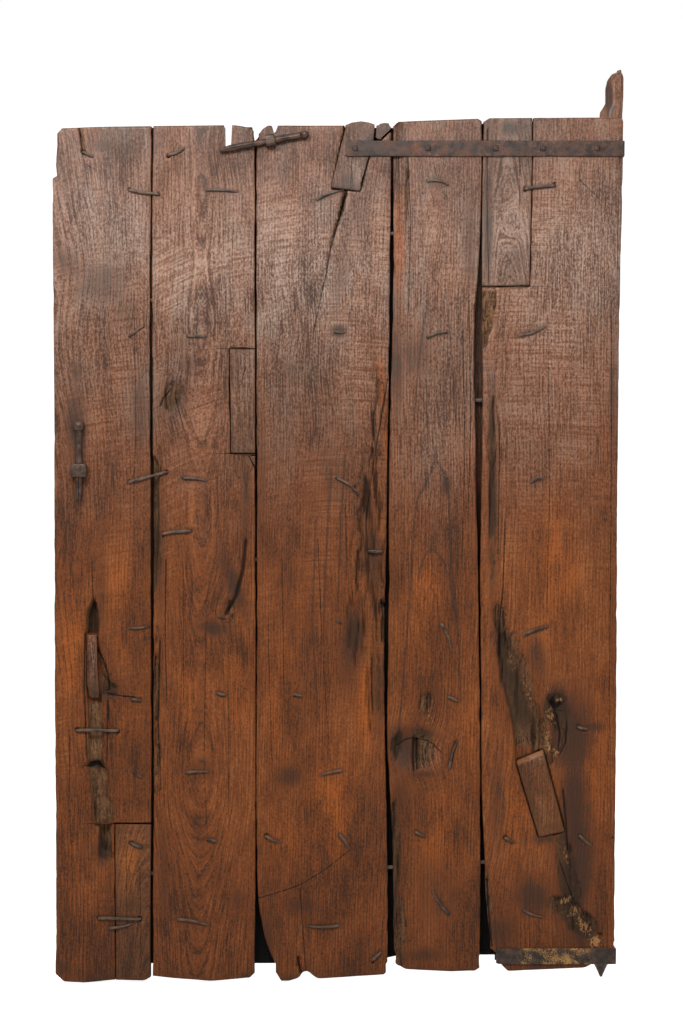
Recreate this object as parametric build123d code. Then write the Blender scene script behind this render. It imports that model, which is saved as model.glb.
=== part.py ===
# An old plank door leaf that turned on pivots: five hand-edged planks with lapped joints, let-in patches,
# six nailed ledges on the back and forged irons. Front towards -Y, standing on the tip of its lower pivot.
import os

from build123d import *

# Driving sizes, in millimetres.
LEAF_WIDTH = 1254.0
LEAF_HEIGHT = 1894.0
PLANK_THICKNESS = 52.0
FACE_DEPTH = 27.0
LAP_REACH = 14.0
LAP_PLAY = 1.0
PATCH_PLAY = 1.4
CUT_OVERRUN = 30.0

LEDGE_HEIGHT = 74.0
LEDGE_THICKNESS = 34.0
LEDGE_BEVEL = 7.0

NAIL_SIDE = 5.6
NAIL_BITE = 7.0
NAIL_HEAD_SIDE = 17.0
NAIL_HEAD_RISE = 5.0
NAIL_HEAD_TAPER_DEGREES = 38.0
STAPLE_LEG = 24.0
SHORT_NAIL_SHANK = 20.0
DOWEL_SIDE = 8.0
DOWEL_LENGTH = 64.0
DOWEL_PLAY = 0.2

STRAP_HEIGHT = 36.0
STRAP_THICKNESS = 4.5
STRAP_BACK_REACH = 260.0
STRAP_NAIL_SHANK = 34.0
STRAP_NAIL_HEAD = 13.0
STRAP_NAIL_RISE = 4.0
STRAP_NAIL_TAPER_DEGREES = 25.0

PIVOT_LENGTH = 32.0
PIVOT_RADIUS = 18.0
PIVOT_TIP_RADIUS = 2.5
PIVOT_TANG_SIDE = 16.0
PIVOT_TANG_LENGTH = 80.0
PINTLE_DEPTH = 40.0

PIN_PLAY = 0.3
EYE_WALL = 5.0
EYE_SPIKE_SIDE = 11.0
EYE_SPIKE_LENGTH = 42.0
PIN_SLIT = 2.2
FLAT_DEGREES = 45

# The upright pin on the closing plank: a ball head, a stout shank and a split tail below the eye.
LATCH_BALL_RADIUS = 14.0
LATCH_SHANK_RADIUS = 9.0
LATCH_SHANK_LENGTH = 84.0
LATCH_TAIL_RADIUS = 7.4
LATCH_TAIL_LENGTH = 81.0
LATCH_EYE_WIDTH = 38.0
LATCH_EYE_HEIGHT = 29.0
LATCH_LEAN_DEGREES = 0.0

# The slanting pin at the head of the leaf: a plain shank with an upset end.
HEAD_BALL_RADIUS = 9.4
HEAD_SHANK_RADIUS = 8.2
HEAD_SHANK_LENGTH = 66.0
HEAD_TAIL_RADIUS = 7.0
HEAD_TAIL_LENGTH = 124.0
HEAD_EYE_WIDTH = 28.0
HEAD_EYE_HEIGHT = 22.0
HEAD_LEAN_DEGREES = 79.6

# Depths that rot, splits and breaks reach into the face.
CHECK_DEPTH = 12.0
CHIP_DEPTH = 14.0
SPLIT_DEPTH = 14.0
SPLIT_TIP_DEPTH = 24.0
FILLER_SINK = 4.0
BREAK_DEPTH = 20.0
LEDGE_STEP_DEPTH = 7.0
CHANNEL_DEPTH = 9.0
GOUGE_DEPTH = 7.0
BLOCK_DEPTH = 24.0
BLOCK_BEVEL = 11.0
HOLLOW_RADIUS = 54.0
HOLLOW_DEPTH = 10.0
EYE_SLIT_DEPTH = 21.0
WANE_WIDTH = 31.0
WANE_DEPTH = 14.0
WANE_END_WIDTH = 4.0
WANE_END_DEPTH = 2.0
ARRIS_WIDTH = 12.0
ARRIS_DEPTH = 7.0
ARRIS_END_WIDTH = 4.0
ARRIS_END_DEPTH = 4.0

# Places on the leaf: shares of its width from the closing edge, and of its height from the feet.
PIVOT_ACROSS_SHARE = 0.9632
PIVOT_SEAT_SHARE = 0.0171
BACK_FOOT_SHARE = 0.016
LEDGE_SHARES = (0.918, 0.749, 0.580, 0.409, 0.240, 0.068)
LEDGE_END_SHARES = (0.012, 0.945)

# Each plank's head runs left to right, its right edge down, its foot right to left and its left edge up.
PLANK_SHARES = {
    "closing_plank": {
        "head": [(0.000, 0.988), (0.082, 0.990), (0.173, 0.991)],
        "right": [(0.172, 0.916), (0.170, 0.754), (0.1715, 0.580), (0.172, 0.394), (0.173, 0.254),
                  (0.1715, 0.138)],
        "foot": [(0.171, 0.002), (0.160, -0.002), (0.107, -0.001), (0.056, -0.0045), (0.019, -0.003),
                 (0.004, 0.006)],
        "left": [(0.005, 0.150), (0.0035, 0.278), (0.002, 0.463), (0.002, 0.649), (0.000, 0.800),
                 (-0.001, 0.916)],
    },
    "second_plank": {
        "head": [(0.176, 0.991), (0.3175, 0.992), (0.354, 0.989)],
        "right": [(0.3545, 0.789), (0.3545, 0.591), (0.3555, 0.394), (0.3555, 0.185), (0.3545, 0.057)],
        "foot": [(0.3535, 0.007), (0.3455, 0.0015), (0.279, -0.0025), (0.209, 0.001), (0.175, 0.0035)],
        "left": [(0.1755, 0.138), (0.1765, 0.278), (0.176, 0.394), (0.176, 0.533), (0.1745, 0.649),
                 (0.1735, 0.789), (0.174, 0.905)],
    },
    "middle_plank": {
        "head": [(0.3565, 0.9915), (0.5105, 0.9915), (0.563, 0.9925), (0.594, 0.9925)],
        "right": [(0.593, 0.916), (0.5915, 0.800), (0.5885, 0.6725), (0.585, 0.510), (0.5815, 0.359),
                  (0.585, 0.2195), (0.5875, 0.092)],
        "foot": [(0.587, 0.0105), (0.5805, 0.005), (0.464, 0.000), (0.4545, 0.0045), (0.448, 0.009),
                 (0.4395, 0.0085),
                 (0.4325, 0.0015), (0.414, -0.0025), (0.400, -0.0025)],
        "left": [(0.371, 0.043), (0.362, 0.078), (0.358, 0.127), (0.3575, 0.394), (0.357, 0.6725),
                 (0.3565, 0.8815)],
    },
    "fourth_plank": {
        "head": [(0.596, 0.9905), (0.6065, 0.996), (0.679, 0.998), (0.7455, 0.9995), (0.753, 0.9965)],
        "right": [(0.7525, 0.9395), (0.748, 0.841), (0.740, 0.748), (0.7415, 0.6375), (0.7455, 0.4865),
                  (0.7485, 0.3705), (0.750, 0.208), (0.750, 0.0975)],
        "foot": [(0.7485, 0.013), (0.7405, 0.0095), (0.699, 0.0085), (0.6195, 0.011), (0.6025, 0.0165),
                 (0.5975, 0.0255)],
        "left": [(0.597, 0.1035), (0.594, 0.1845), (0.5875, 0.2545), (0.5865, 0.3355), (0.589, 0.440),
                 (0.5895, 0.5795),
                 (0.5925, 0.684), (0.597, 0.800), (0.597, 0.905)],
    },
    "pivot_plank": {
        "head": [(0.756, 0.996), (0.7655, 1.000), (0.9595, 1.001), (1.001, 1.001)],
        "right": [(1.0005, 0.9455), (0.9965, 0.835), (0.993, 0.7075), (0.9905, 0.533), (0.989, 0.3355),
                  (0.9865, 0.173)],
        "foot": [(0.9855, 0.0171), (0.944, 0.0171), (0.934, 0.013), (0.798, 0.009), (0.7825, 0.0195),
                 (0.7675, 0.026)],
        "left": [(0.766, 0.0475), (0.7605, 0.080), (0.758, 0.130), (0.7535, 0.1965), (0.7515, 0.324),
                 (0.7495, 0.4865),
                 (0.7535, 0.6375), (0.753, 0.7885)],
    },
}

# The pintle's outline on the leaf, and its whittled section in shares of its own width and depth.
PINTLE_SHARES = [(0.9605, 0.9995), (0.962, 1.009), (0.9715, 1.019), (0.971, 1.034), (0.9745, 1.046),
                 (0.982, 1.053),
                 (0.9945, 1.0565), (0.9995, 1.057), (1.0025, 1.047), (1.0025, 1.0325), (1.0005, 0.9995)]
PINTLE_SECTION_SHARES = [(0.0, 0.42), (0.42, 0.0), (0.80, 0.0), (1.0, 0.22), (1.0, 0.80), (0.82, 1.0),
                         (0.22, 1.0),
                         (0.0, 0.80)]

# Outlines of the let-in pieces. Those that run out at a plank's edge pass it and take the plank's own edge.
FOOT_PATCH_SHARES = [(0.109, 0.1795), (0.190, 0.1795), (0.190, -0.02), (0.1105, -0.02)]
EDGE_PATCH_SHARES = [(0.310, 0.7315), (0.372, 0.7315), (0.372, 0.611), (0.3125, 0.611)]
EDGE_WEDGE_SHARES = [(0.3445, 0.6075), (0.372, 0.6075), (0.372, 0.592), (0.354, 0.595)]
SPLAYED_PATCH_SHARES = [(0.513, 0.992), (0.5245, 0.995), (0.5405, 0.9965), (0.5545, 0.995),
                        (0.5645, 0.9925),
                        (0.562, 0.9745), (0.552, 0.951), (0.5385, 0.9155), (0.4885, 0.919)]
CORNER_SPLINTER_SHARES = [(0.5675, 0.9925), (0.5805, 0.9945), (0.589, 0.994), (0.5935, 0.9895),
                          (0.5905, 0.986),
                          (0.5745, 0.975), (0.566, 0.9765)]
HEAD_PATCH_SHARES = [(0.735, 1.02), (0.8415, 1.02), (0.8415, 0.997), (0.8395, 0.905), (0.836, 0.8055),
                     (0.735, 0.8055)]
INLAY_BLOCK_SHARES = [(0.8125, 0.253), (0.8605, 0.266), (0.898, 0.1715), (0.8525, 0.164)]
SPLIT_FILLER_SHARES = [(0.0595, 0.399), (0.0765, 0.399), (0.078, 0.359), (0.0815, 0.3265),
                       (0.064, 0.3265), (0.0595, 0.338)]

# Outlines of what is lost or open: nicks, notches, chips, splits and rot.
CORNER_NICK_SHARES = [(-0.03, 0.9355), (0.000, 0.9355), (0.007, 0.938), (0.0045, 0.9535),
                      (0.007, 0.9825), (0.016, 0.9885),
                      (0.016, 1.01), (-0.03, 1.01)]
HEAD_CHECK_SHARES = [(0.0445, 1.01), (0.048, 1.01), (0.0485, 0.985), (0.0565, 0.948), (0.0455, 0.985)]
SPLIT_SHARES = [(0.070, 0.445), (0.0795, 0.4275), (0.080, 0.394), (0.0875, 0.3565), (0.1125, 0.338),
                (0.1125, 0.3335),
                (0.084, 0.331), (0.084, 0.317), (0.0875, 0.282), (0.0875, 0.2475), (0.093, 0.2405),
                (0.093, 0.2125),
                (0.107, 0.2045), (0.107, 0.1985), (0.100, 0.173), (0.1045, 0.138), (0.079, 0.137),
                (0.0805, 0.1685),
                (0.0755, 0.201), (0.066, 0.2125), (0.0615, 0.2545), (0.0625, 0.317), (0.057, 0.3355),
                (0.057, 0.4005),
                (0.0595, 0.4285)]
SPLIT_TIP_SHARES = [(0.070, 0.445), (0.0795, 0.4275), (0.080, 0.4005), (0.0575, 0.4005), (0.0595, 0.4285)]
HEAD_NOTCH_SHARES = [(0.3025, 1.01), (0.301, 0.9885), (0.2955, 0.9835), (0.294, 0.9625), (0.313, 0.968),
                     (0.313, 1.01)]
EDGE_CHIP_SHARES = [(0.160, 0.612), (0.175, 0.612), (0.1835, 0.598), (0.1855, 0.5565), (0.1845, 0.5005),
                    (0.1795, 0.440),
                    (0.175, 0.403), (0.160, 0.403)]
HEAD_LOBE_SHARES = [(0.345, 1.01), (0.353, 0.9755), (0.357, 0.977), (0.3615, 0.982), (0.3675, 0.9875),
                    (0.3735, 0.990),
                    (0.378, 0.992), (0.378, 1.01)]
HEAD_VEE_SHARES = [(0.3835, 1.01), (0.3845, 0.9905), (0.388, 0.9825), (0.391, 0.985), (0.3945, 0.992),
                   (0.3945, 1.01)]
SPLINTER_GAP_SHARES = [(0.5615, 0.9745), (0.564, 0.9925), (0.564, 1.01), (0.5685, 1.01),
                       (0.5685, 0.9925), (0.567, 0.9745)]
CORNER_LOSS_SHARES = [(0.589, 0.994), (0.589, 1.01), (0.610, 1.01), (0.610, 0.986), (0.5905, 0.986),
                      (0.5935, 0.9895)]
WEDGE_SPLIT_SHARES = [(0.5115, 0.9175), (0.5165, 0.9175), (0.5065, 0.884), (0.4895, 0.8525),
                      (0.4815, 0.822),
                      (0.469, 0.7865), (0.4575, 0.756), (0.4665, 0.7865), (0.478, 0.822), (0.485, 0.853),
                      (0.502, 0.8845)]
EDGE_BREAK_SHARES = [(0.610, 0.439), (0.584, 0.4395), (0.5725, 0.436), (0.575, 0.4285), (0.576, 0.394),
                     (0.5815, 0.387),
                     (0.610, 0.387)]
FOOT_CHECK_SHARES = [(0.4375, 0.004), (0.4265, 0.022), (0.4415, 0.005)]
EYE_SLIT_SHARES = [(0.636, 0.278), (0.641, 0.278), (0.6405, 0.2445), (0.637, 0.2445)]
EYE_HOLLOW_SHARE = (0.633, 0.268)
PATCH_STEP_SHARES = [(0.730, 0.8035), (0.779, 0.8035), (0.779, 0.7885), (0.7685, 0.754), (0.7545, 0.728),
                     (0.730, 0.728)]
DECAY_CHANNEL_SHARES = [(0.7825, 0.3985), (0.7965, 0.397), (0.8175, 0.3705), (0.8245, 0.3355),
                        (0.8385, 0.310),
                        (0.863, 0.2855), (0.8735, 0.2705), (0.8605, 0.262), (0.8125, 0.250),
                        (0.807, 0.296), (0.793, 0.3335),
                        (0.7825, 0.366)]
WORM_GOUGE_SHARES = [(0.877, 0.095), (0.900, 0.100), (0.9245, 0.086), (0.9545, 0.066), (0.9665, 0.0455),
                     (0.931, 0.0455),
                     (0.909, 0.057), (0.8825, 0.0825)]
WANE_SHARES = [(0.5955, 1.005), (0.5935, 0.655)]
ARRIS_SHARES = [(1.0015, 0.99), (0.986, 0.05)]

# Clenched nails of each ledge: where the shank comes out of the face, and where the turned tip goes back in.
LEDGE_NAIL_SHARES = [
    [((0.2685, 0.9165), (0.3245, 0.914)), ((0.4615, 0.905), (0.5105, 0.9165)), ((0.656, 0.927),
     (0.695, 0.921))],
    [((0.1335, 0.7455), (0.1615, 0.759)), ((0.235, 0.747), (0.271, 0.7455)), ((0.493, 0.7515),
     (0.5125, 0.7505)),
     ((0.656, 0.7445), (0.693, 0.7505)), ((0.816, 0.747), (0.8665, 0.7585))],
    [((0.2275, 0.582), (0.272, 0.5785)), ((0.4965, 0.582), (0.5375, 0.561)), ((0.684, 0.5865),
     (0.6925, 0.581)),
     ((0.8385, 0.577), (0.863, 0.5805))],
    [((0.1335, 0.4075), (0.170, 0.410)), ((0.2895, 0.4215), (0.3035, 0.418)), ((0.4965, 0.416),
     (0.507, 0.4125)),
     ((0.6815, 0.4125), (0.698, 0.3845)), ((0.824, 0.3995), (0.870, 0.410))],
    [((0.1385, 0.2425), (0.156, 0.2335)), ((0.2335, 0.240), (0.2755, 0.2405)), ((0.507, 0.2425),
     (0.4685, 0.2365)),
     ((0.6955, 0.245), (0.709, 0.2765))],
    [((0.0965, 0.059), (0.1405, 0.0645)), ((0.2195, 0.0695), (0.272, 0.0625)), ((0.502, 0.0625),
     (0.4455, 0.0615)),
     ((0.6945, 0.0755), (0.6665, 0.102)), ((0.8245, 0.080), (0.8605, 0.072))],
]
STAPLE_SHARES = [((0.1335, 0.9165), (0.186, 0.9105)), ((0.1335, 0.577), (0.200, 0.589)),
                 ((0.828, 0.9175), (0.8805, 0.922)),
                 ((0.0805, 0.071), (0.1525, 0.070)), ((0.042, 0.289), (0.114, 0.289)), ((0.193, 0.517),
                 (0.242, 0.5215))]
SHORT_NAIL_SHARES = [((0.2025, 0.957), (0.231, 0.9645)), ((0.0525, 0.9605), (0.070, 0.9545)),
                     ((0.137, 0.158), (0.157, 0.153)),
                     ((0.272, 0.1625), (0.2875, 0.160)), ((0.3735, 0.166), (0.3965, 0.159)),
                     ((0.5035, 0.167), (0.519, 0.153)),
                     ((0.637, 0.1705), (0.6525, 0.166)), ((0.793, 0.164), (0.807, 0.159)),
                     ((0.9245, 0.166), (0.9455, 0.155)),
                     ((0.560, 0.0225), (0.5755, 0.0315)), ((0.1385, 0.325), (0.1545, 0.323)),
                     ((0.2895, 0.332), (0.3035, 0.330)),
                     ((0.423, 0.331), (0.437, 0.3285)), ((0.6945, 0.3275), (0.7105, 0.323)),
                     ((0.921, 0.2925), (0.9385, 0.2905)),
                     ((0.5545, 0.497), (0.578, 0.497))]
DOWEL_SHARES = [(0.1745, 0.789), (0.1745, 0.122), (0.3565, 0.487), (0.3565, 0.208), (0.5945, 0.8665),
                (0.592, 0.129),
                (0.7475, 0.6725), (0.752, 0.135)]

HEAD_STRAP_LEVEL_SHARE = 0.9645
HEAD_STRAP_SPAN_SHARES = (0.513, 0.9995)
HEAD_STRAP_NAIL_SHARES = (0.530, 0.658, 0.777, 0.8595, 0.9545)
FOOT_STRAP_SPAN_SHARES = (0.8065, 0.9845)
FOOT_STRAP_NAIL_SHARES = (0.822, 0.940)
LATCH_EYE_SHARE = (0.0465, 0.598)
HEAD_EYE_SHARE = (0.390, 0.974)
TAIL_PRONG_SHARE = 0.93
KNOB_SHARES = [(-0.82, 0.57), (-0.45, 0.89), (0.0, 1.0), (0.45, 0.89), (0.82, 0.57), (1.0, 0.15)]
TAIL_SLIT_SHARE = 0.62

FRONT = -PLANK_THICKNESS / 2
BACK = PLANK_THICKNESS / 2
SHOULDER = FRONT + FACE_DEPTH
LEDGE_BACK = BACK + LEDGE_THICKNESS


def leaf_x(share):
    return (share - PIVOT_ACROSS_SHARE) * LEAF_WIDTH


def leaf_z(share):
    return PIVOT_LENGTH + (share - PIVOT_SEAT_SHARE) * LEAF_HEIGHT


def on_leaf(shares):
    return [(leaf_x(across), leaf_z(up)) for across, up in shares]


def outline(shares):
    return make_face(Polyline(*on_leaf(shares), close=True))


def slab(face, front, back):
    # A flat outline given depth between two planes across the leaf.
    return extrude(Plane.XZ.offset(-back) * face, amount=back - front)


def cut_in(shares, depth):
    # What a recess of some depth takes out of the face.
    return slab(outline(shares), FRONT - CUT_OVERRUN, FRONT + depth)


def cut_through(shares):
    return slab(outline(shares), FRONT - CUT_OVERRUN, BACK + CUT_OVERRUN)


def solids_of(pieces):
    return Compound(children=[solid for piece in pieces for solid in piece.solids()])


def carved(piece, irons):
    # Wood with the holes of the irons that are driven into it.
    box = piece.bounding_box()
    near = [iron for iron in irons if box.overlaps(iron.bounding_box())]
    return piece - near if near else piece


# Planks

def edge_points(plank, side):
    # A long edge in the order of the outline: the right one downward, the left one upward.
    edges = PLANK_SHARES[plank]
    ends = (edges["head"][-1], edges["foot"][0]) if side == "right" else (edges["foot"][-1], edges["head"][0])
    return on_leaf([ends[0], *edges[side], ends[1]])


def face_layer(plank):
    head, foot = (on_leaf(PLANK_SHARES[plank][end]) for end in ("head", "foot"))
    sides = [Spline(*edge_points(plank, side)) for side in ("right", "left")]
    return slab(make_face([Polyline(*head), sides[0], Polyline(*foot), sides[1]]), FRONT, SHOULDER)


def back_layer(plank):
    # The back starts behind the plank's own left edge, laps behind the next plank and stops above the feet.
    names = list(PLANK_SHARES)
    place = names.index(plank)
    reach = LAP_REACH if place else 0
    left = [(x + reach, z) for x, z in edge_points(plank, "left")]
    if plank == names[-1]:
        right = edge_points(plank, "right")
    else:
        next_left = edge_points(names[place + 1], "left")
        right = [(x + LAP_REACH - LAP_PLAY, z) for x, z in reversed(next_left)]
    lines = [Polyline(left[-1], right[0]), Spline(*right), Polyline(right[-1], left[0]), Spline(*left)]
    rebate = Pos(0, SHOULDER, leaf_z(BACK_FOOT_SHARE)) * Box(
        3 * LEAF_WIDTH, PLANK_THICKNESS, LEAF_HEIGHT, align=(Align.CENTER, Align.MIN, Align.MAX))
    return slab(make_face(lines), SHOULDER, BACK) - rebate


def edge_bevel(ends, widths, depths, inward):
    # A long wedge that comes off a front edge, from one section at the head to a smaller one below.
    sections = []
    for (across, up), width, depth in zip(ends, widths, depths):
        corner = Vector(leaf_x(across), FRONT, leaf_z(up))
        reach = inward * width
        sections.append(Face(Wire.make_polygon([
            corner + Vector(-reach, -depth, 0), corner + Vector(-reach, depth * 2, 0),
            corner + Vector(0, depth, 0), corner + Vector(reach, 0, 0), corner + Vector(reach, -depth, 0)])))
    return Solid.make_loft([section.outer_wire() for section in sections], ruled=True)


def pintle():
    body = slab(outline(PINTLE_SHARES), -PINTLE_DEPTH / 2, PINTLE_DEPTH / 2)
    box = body.bounding_box()
    section = [(box.min.X + across * box.size.X, box.min.Y + deep * box.size.Y)
               for across, deep in PINTLE_SECTION_SHARES]
    face = make_face(Polyline(*section, close=True))
    return body & extrude(Plane.XY.offset(box.min.Z) * face, amount=box.size.Z)


def eye_hollow():
    # A shallow round bowl worn into the face round a lost knot.
    radius = (HOLLOW_RADIUS ** 2 + HOLLOW_DEPTH ** 2) / (2 * HOLLOW_DEPTH)
    (x, z), = on_leaf([EYE_HOLLOW_SHARE])
    return Pos(x, FRONT + HOLLOW_DEPTH - radius, z) * Sphere(radius)


def let_in(layer, shares):
    # A patch that takes the plank's own edge where it runs out there.
    return layer & slab(outline(shares), FRONT, SHOULDER)


def pocket(shares, depth):
    room = offset(outline(shares), PATCH_PLAY, kind=Kind.INTERSECTION)
    return slab(room, FRONT - CUT_OVERRUN, FRONT + depth)


def strap_seat(level, span):
    # The pivot edge is cut flat where a strap goes round it.
    height = STRAP_HEIGHT + 2 * LAP_PLAY
    return Pos(leaf_x(span[1]), 0, level) * Box(
        CUT_OVERRUN, 2 * PLANK_THICKNESS, height, align=(Align.MIN, Align.CENTER, Align.CENTER))


# Nails, staples and dowels

def face_plane(start, tip):
    # A plane square to the face along a nail's leg: x along the leg, y into the wood.
    (x0, z0), (x1, z1) = on_leaf([start, tip])
    run = Vector(x1 - x0, 0, z1 - z0)
    return Plane(origin=(x0, 0, z0), x_dir=run, z_dir=run.cross(Vector(0, 1, 0))), run.length


def bent_nail(start, tip, shank_end):
    # A square nail whose end is hammered flat along the face and turned back into the wood.
    plane, length = face_plane(start, tip)
    half = NAIL_SIDE / 2
    profile = [(-half, shank_end), (-half, FRONT - half), (0, FRONT - NAIL_SIDE),
               (length - half, FRONT - half), (length, FRONT), (length, FRONT + NAIL_BITE),
               (length - NAIL_SIDE, FRONT), (half, FRONT), (half, shank_end)]
    return extrude(plane * make_face(Polyline(*profile, close=True)), amount=half, both=True)


def clenched_nail(start, tip):
    (x, z), = on_leaf([start])
    seat = Plane(origin=(x, LEDGE_BACK, z), x_dir=(1, 0, 0), z_dir=(0, 1, 0))
    square = seat * Rectangle(NAIL_HEAD_SIDE, NAIL_HEAD_SIDE)
    head = extrude(square, amount=NAIL_HEAD_RISE, taper=NAIL_HEAD_TAPER_DEGREES)
    return bent_nail(start, tip, LEDGE_BACK) + head


def staple(start, tip):
    plane, length = face_plane(start, tip)
    half = NAIL_SIDE / 2
    deep = FRONT + STAPLE_LEG
    point = deep - NAIL_SIDE
    profile = [(-half, point), (-half, FRONT - half), (half, FRONT - NAIL_SIDE),
               (length - half, FRONT - NAIL_SIDE), (length + half, FRONT - half), (length + half, point),
               (length, deep), (length - half, point), (length - half, FRONT), (half, FRONT), (half, point),
               (0, deep)]
    return extrude(plane * make_face(Polyline(*profile, close=True)), amount=half, both=True)


def dowel(place, play):
    # A square iron pin across a plank joint, or with some play the hole that it is driven into.
    (x, z), = on_leaf([place])
    side = DOWEL_SIDE + play
    return Pos(x, (FRONT + SHOULDER) / 2, z) * Box(DOWEL_LENGTH + play, side, side)


# Irons

def strap(level, span):
    # A flat bar bent round the pivot edge, with its long leg on the face.
    start, edge = leaf_x(span[0]), leaf_x(span[1])
    outer = edge + STRAP_THICKNESS
    path = [(start, FRONT), (start, FRONT - STRAP_THICKNESS), (outer, FRONT - STRAP_THICKNESS),
            (outer, BACK + STRAP_THICKNESS), (edge - STRAP_BACK_REACH, BACK + STRAP_THICKNESS),
            (edge - STRAP_BACK_REACH, BACK), (edge, BACK), (edge, FRONT)]
    face = make_face(Polyline(*path, close=True))
    bar = extrude(Plane.XY.offset(level - STRAP_HEIGHT / 2) * face, amount=STRAP_HEIGHT)
    bend = bar.edges().filter_by(Axis.Z).sort_by(Axis.X)[-2:]
    return fillet(bend, STRAP_THICKNESS)


def strap_nail(across, level):
    seat = Plane(origin=(leaf_x(across), FRONT - STRAP_THICKNESS, level), x_dir=(1, 0, 0), z_dir=(0, -1, 0))
    square = seat * Rectangle(STRAP_NAIL_HEAD, STRAP_NAIL_HEAD)
    head = extrude(square, amount=STRAP_NAIL_RISE, taper=STRAP_NAIL_TAPER_DEGREES)
    return head + extrude(seat * Rectangle(NAIL_SIDE, NAIL_SIDE), amount=-STRAP_NAIL_SHANK)


def forged(sections):
    # A hammered bar of flat facets through sections of height and radius, from the lowest up.
    turns = range(0, 360, FLAT_DEGREES)
    rings = [[Vector(radius, 0, height).rotate(Axis.Z, turn) for turn in turns]
             for height, radius in sections]
    facets = [rings[0], rings[-1]]
    for lower, upper in zip(rings, rings[1:]):
        facets += [[lower[i - 1], lower[i], upper[i], upper[i - 1]] for i in range(len(turns))]
    return Solid(Shell([Face(Wire.make_polygon(corners)) for corners in facets]))


def lower_pivot():
    # A forged spike: a cone below the plank's foot and a square tang driven up into it.
    cone = forged([(0, PIVOT_TIP_RADIUS), (PIVOT_LENGTH, PIVOT_RADIUS)])
    square = Plane.XY.offset(PIVOT_LENGTH) * Rectangle(PIVOT_TANG_SIDE, PIVOT_TANG_SIDE)
    return cone + extrude(square, amount=PIVOT_TANG_LENGTH)


def split_pin(place, lean, ball, shank, shank_length, tail, tail_length, eye_width, eye_height):
    # A pin in its eye. The pin's shoulder stands on the eye, and its tail is split into two uneven prongs.
    (x, z), = on_leaf([place])
    stand = ball + PIN_PLAY
    frame = Location((x, FRONT - stand, z), (0, lean, 0))
    knob = [(shank_length + ball * up, ball * out) for up, out in KNOB_SHARES]
    pin = forged([(0, shank), (shank_length + ball * KNOB_SHARES[0][0] - PIN_SLIT, shank), *knob])
    pin += forged([(-tail_length, tail), (0, tail)])
    slit_length = tail_length * TAIL_SLIT_SHARE
    slit_box = Box(PIN_SLIT, 2 * tail, slit_length, align=(Align.CENTER, Align.CENTER, Align.MIN))
    pin -= Pos(0, 0, -tail_length) * slit_box
    short = tail_length * TAIL_PRONG_SHARE
    pin -= Pos(0, 0, -short) * Box(tail, 2 * tail, tail_length, align=(Align.MAX, Align.CENTER, Align.MAX))
    depth = stand + tail + EYE_WALL
    eye = Pos(0, stand, 0) * Box(eye_width, depth, eye_height, align=(Align.CENTER, Align.MAX, Align.MAX))
    eye = chamfer(eye.edges().filter_by(Axis.Z).sort_by(Axis.Y)[:2], EYE_WALL)
    eye -= forged([(-eye_height, tail + PIN_PLAY), (0, tail + PIN_PLAY)])
    spike = Pos(0, stand, -eye_height / 2) * Box(
        EYE_SPIKE_SIDE, EYE_SPIKE_LENGTH, EYE_SPIKE_SIDE, align=(Align.CENTER, Align.MIN, Align.CENTER))
    return frame * pin, frame * (eye + spike)


def ledge(level):
    z = leaf_z(level)
    low, high = z - LEDGE_HEIGHT / 2, z + LEDGE_HEIGHT / 2
    profile = [(BACK, low), (LEDGE_BACK - LEDGE_BEVEL, low), (LEDGE_BACK, low + LEDGE_BEVEL),
               (LEDGE_BACK, high - LEDGE_BEVEL), (LEDGE_BACK - LEDGE_BEVEL, high), (BACK, high)]
    start, end = (leaf_x(share) for share in LEDGE_END_SHARES)
    return extrude(Plane.YZ.offset(start) * make_face(Polyline(*profile, close=True)), amount=end - start)


# All the irons come first, because the wood takes their holes.
ledge_nails = [[clenched_nail(*nail) for nail in row] for row in LEDGE_NAIL_SHARES]
staples = [staple(*ends) for ends in STAPLE_SHARES]
short_nails = [bent_nail(*ends, FRONT + SHORT_NAIL_SHANK) for ends in SHORT_NAIL_SHARES]
dowels = [dowel(place, 0) for place in DOWEL_SHARES]
dowel_holes = [dowel(place, DOWEL_PLAY) for place in DOWEL_SHARES]

head_level = leaf_z(HEAD_STRAP_LEVEL_SHARE)
foot_level = PIVOT_LENGTH + STRAP_HEIGHT / 2
head_strap_nails = [strap_nail(across, head_level) for across in HEAD_STRAP_NAIL_SHARES]
foot_strap_nails = [strap_nail(across, foot_level) for across in FOOT_STRAP_NAIL_SHARES]
head_strap = strap(head_level, HEAD_STRAP_SPAN_SHARES) - head_strap_nails
foot_strap = strap(foot_level, FOOT_STRAP_SPAN_SHARES) - foot_strap_nails
pivot = lower_pivot()
latch_pin, latch_eye = split_pin(
    LATCH_EYE_SHARE, LATCH_LEAN_DEGREES, LATCH_BALL_RADIUS, LATCH_SHANK_RADIUS, LATCH_SHANK_LENGTH,
    LATCH_TAIL_RADIUS, LATCH_TAIL_LENGTH, LATCH_EYE_WIDTH, LATCH_EYE_HEIGHT)
head_pin, head_eye = split_pin(
    HEAD_EYE_SHARE, HEAD_LEAN_DEGREES, HEAD_BALL_RADIUS, HEAD_SHANK_RADIUS, HEAD_SHANK_LENGTH,
    HEAD_TAIL_RADIUS, HEAD_TAIL_LENGTH, HEAD_EYE_WIDTH, HEAD_EYE_HEIGHT)

driven = [nail for row in ledge_nails for nail in row] + staples + short_nails + dowel_holes
driven += head_strap_nails + foot_strap_nails + [pivot, latch_eye, head_eye]

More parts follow.
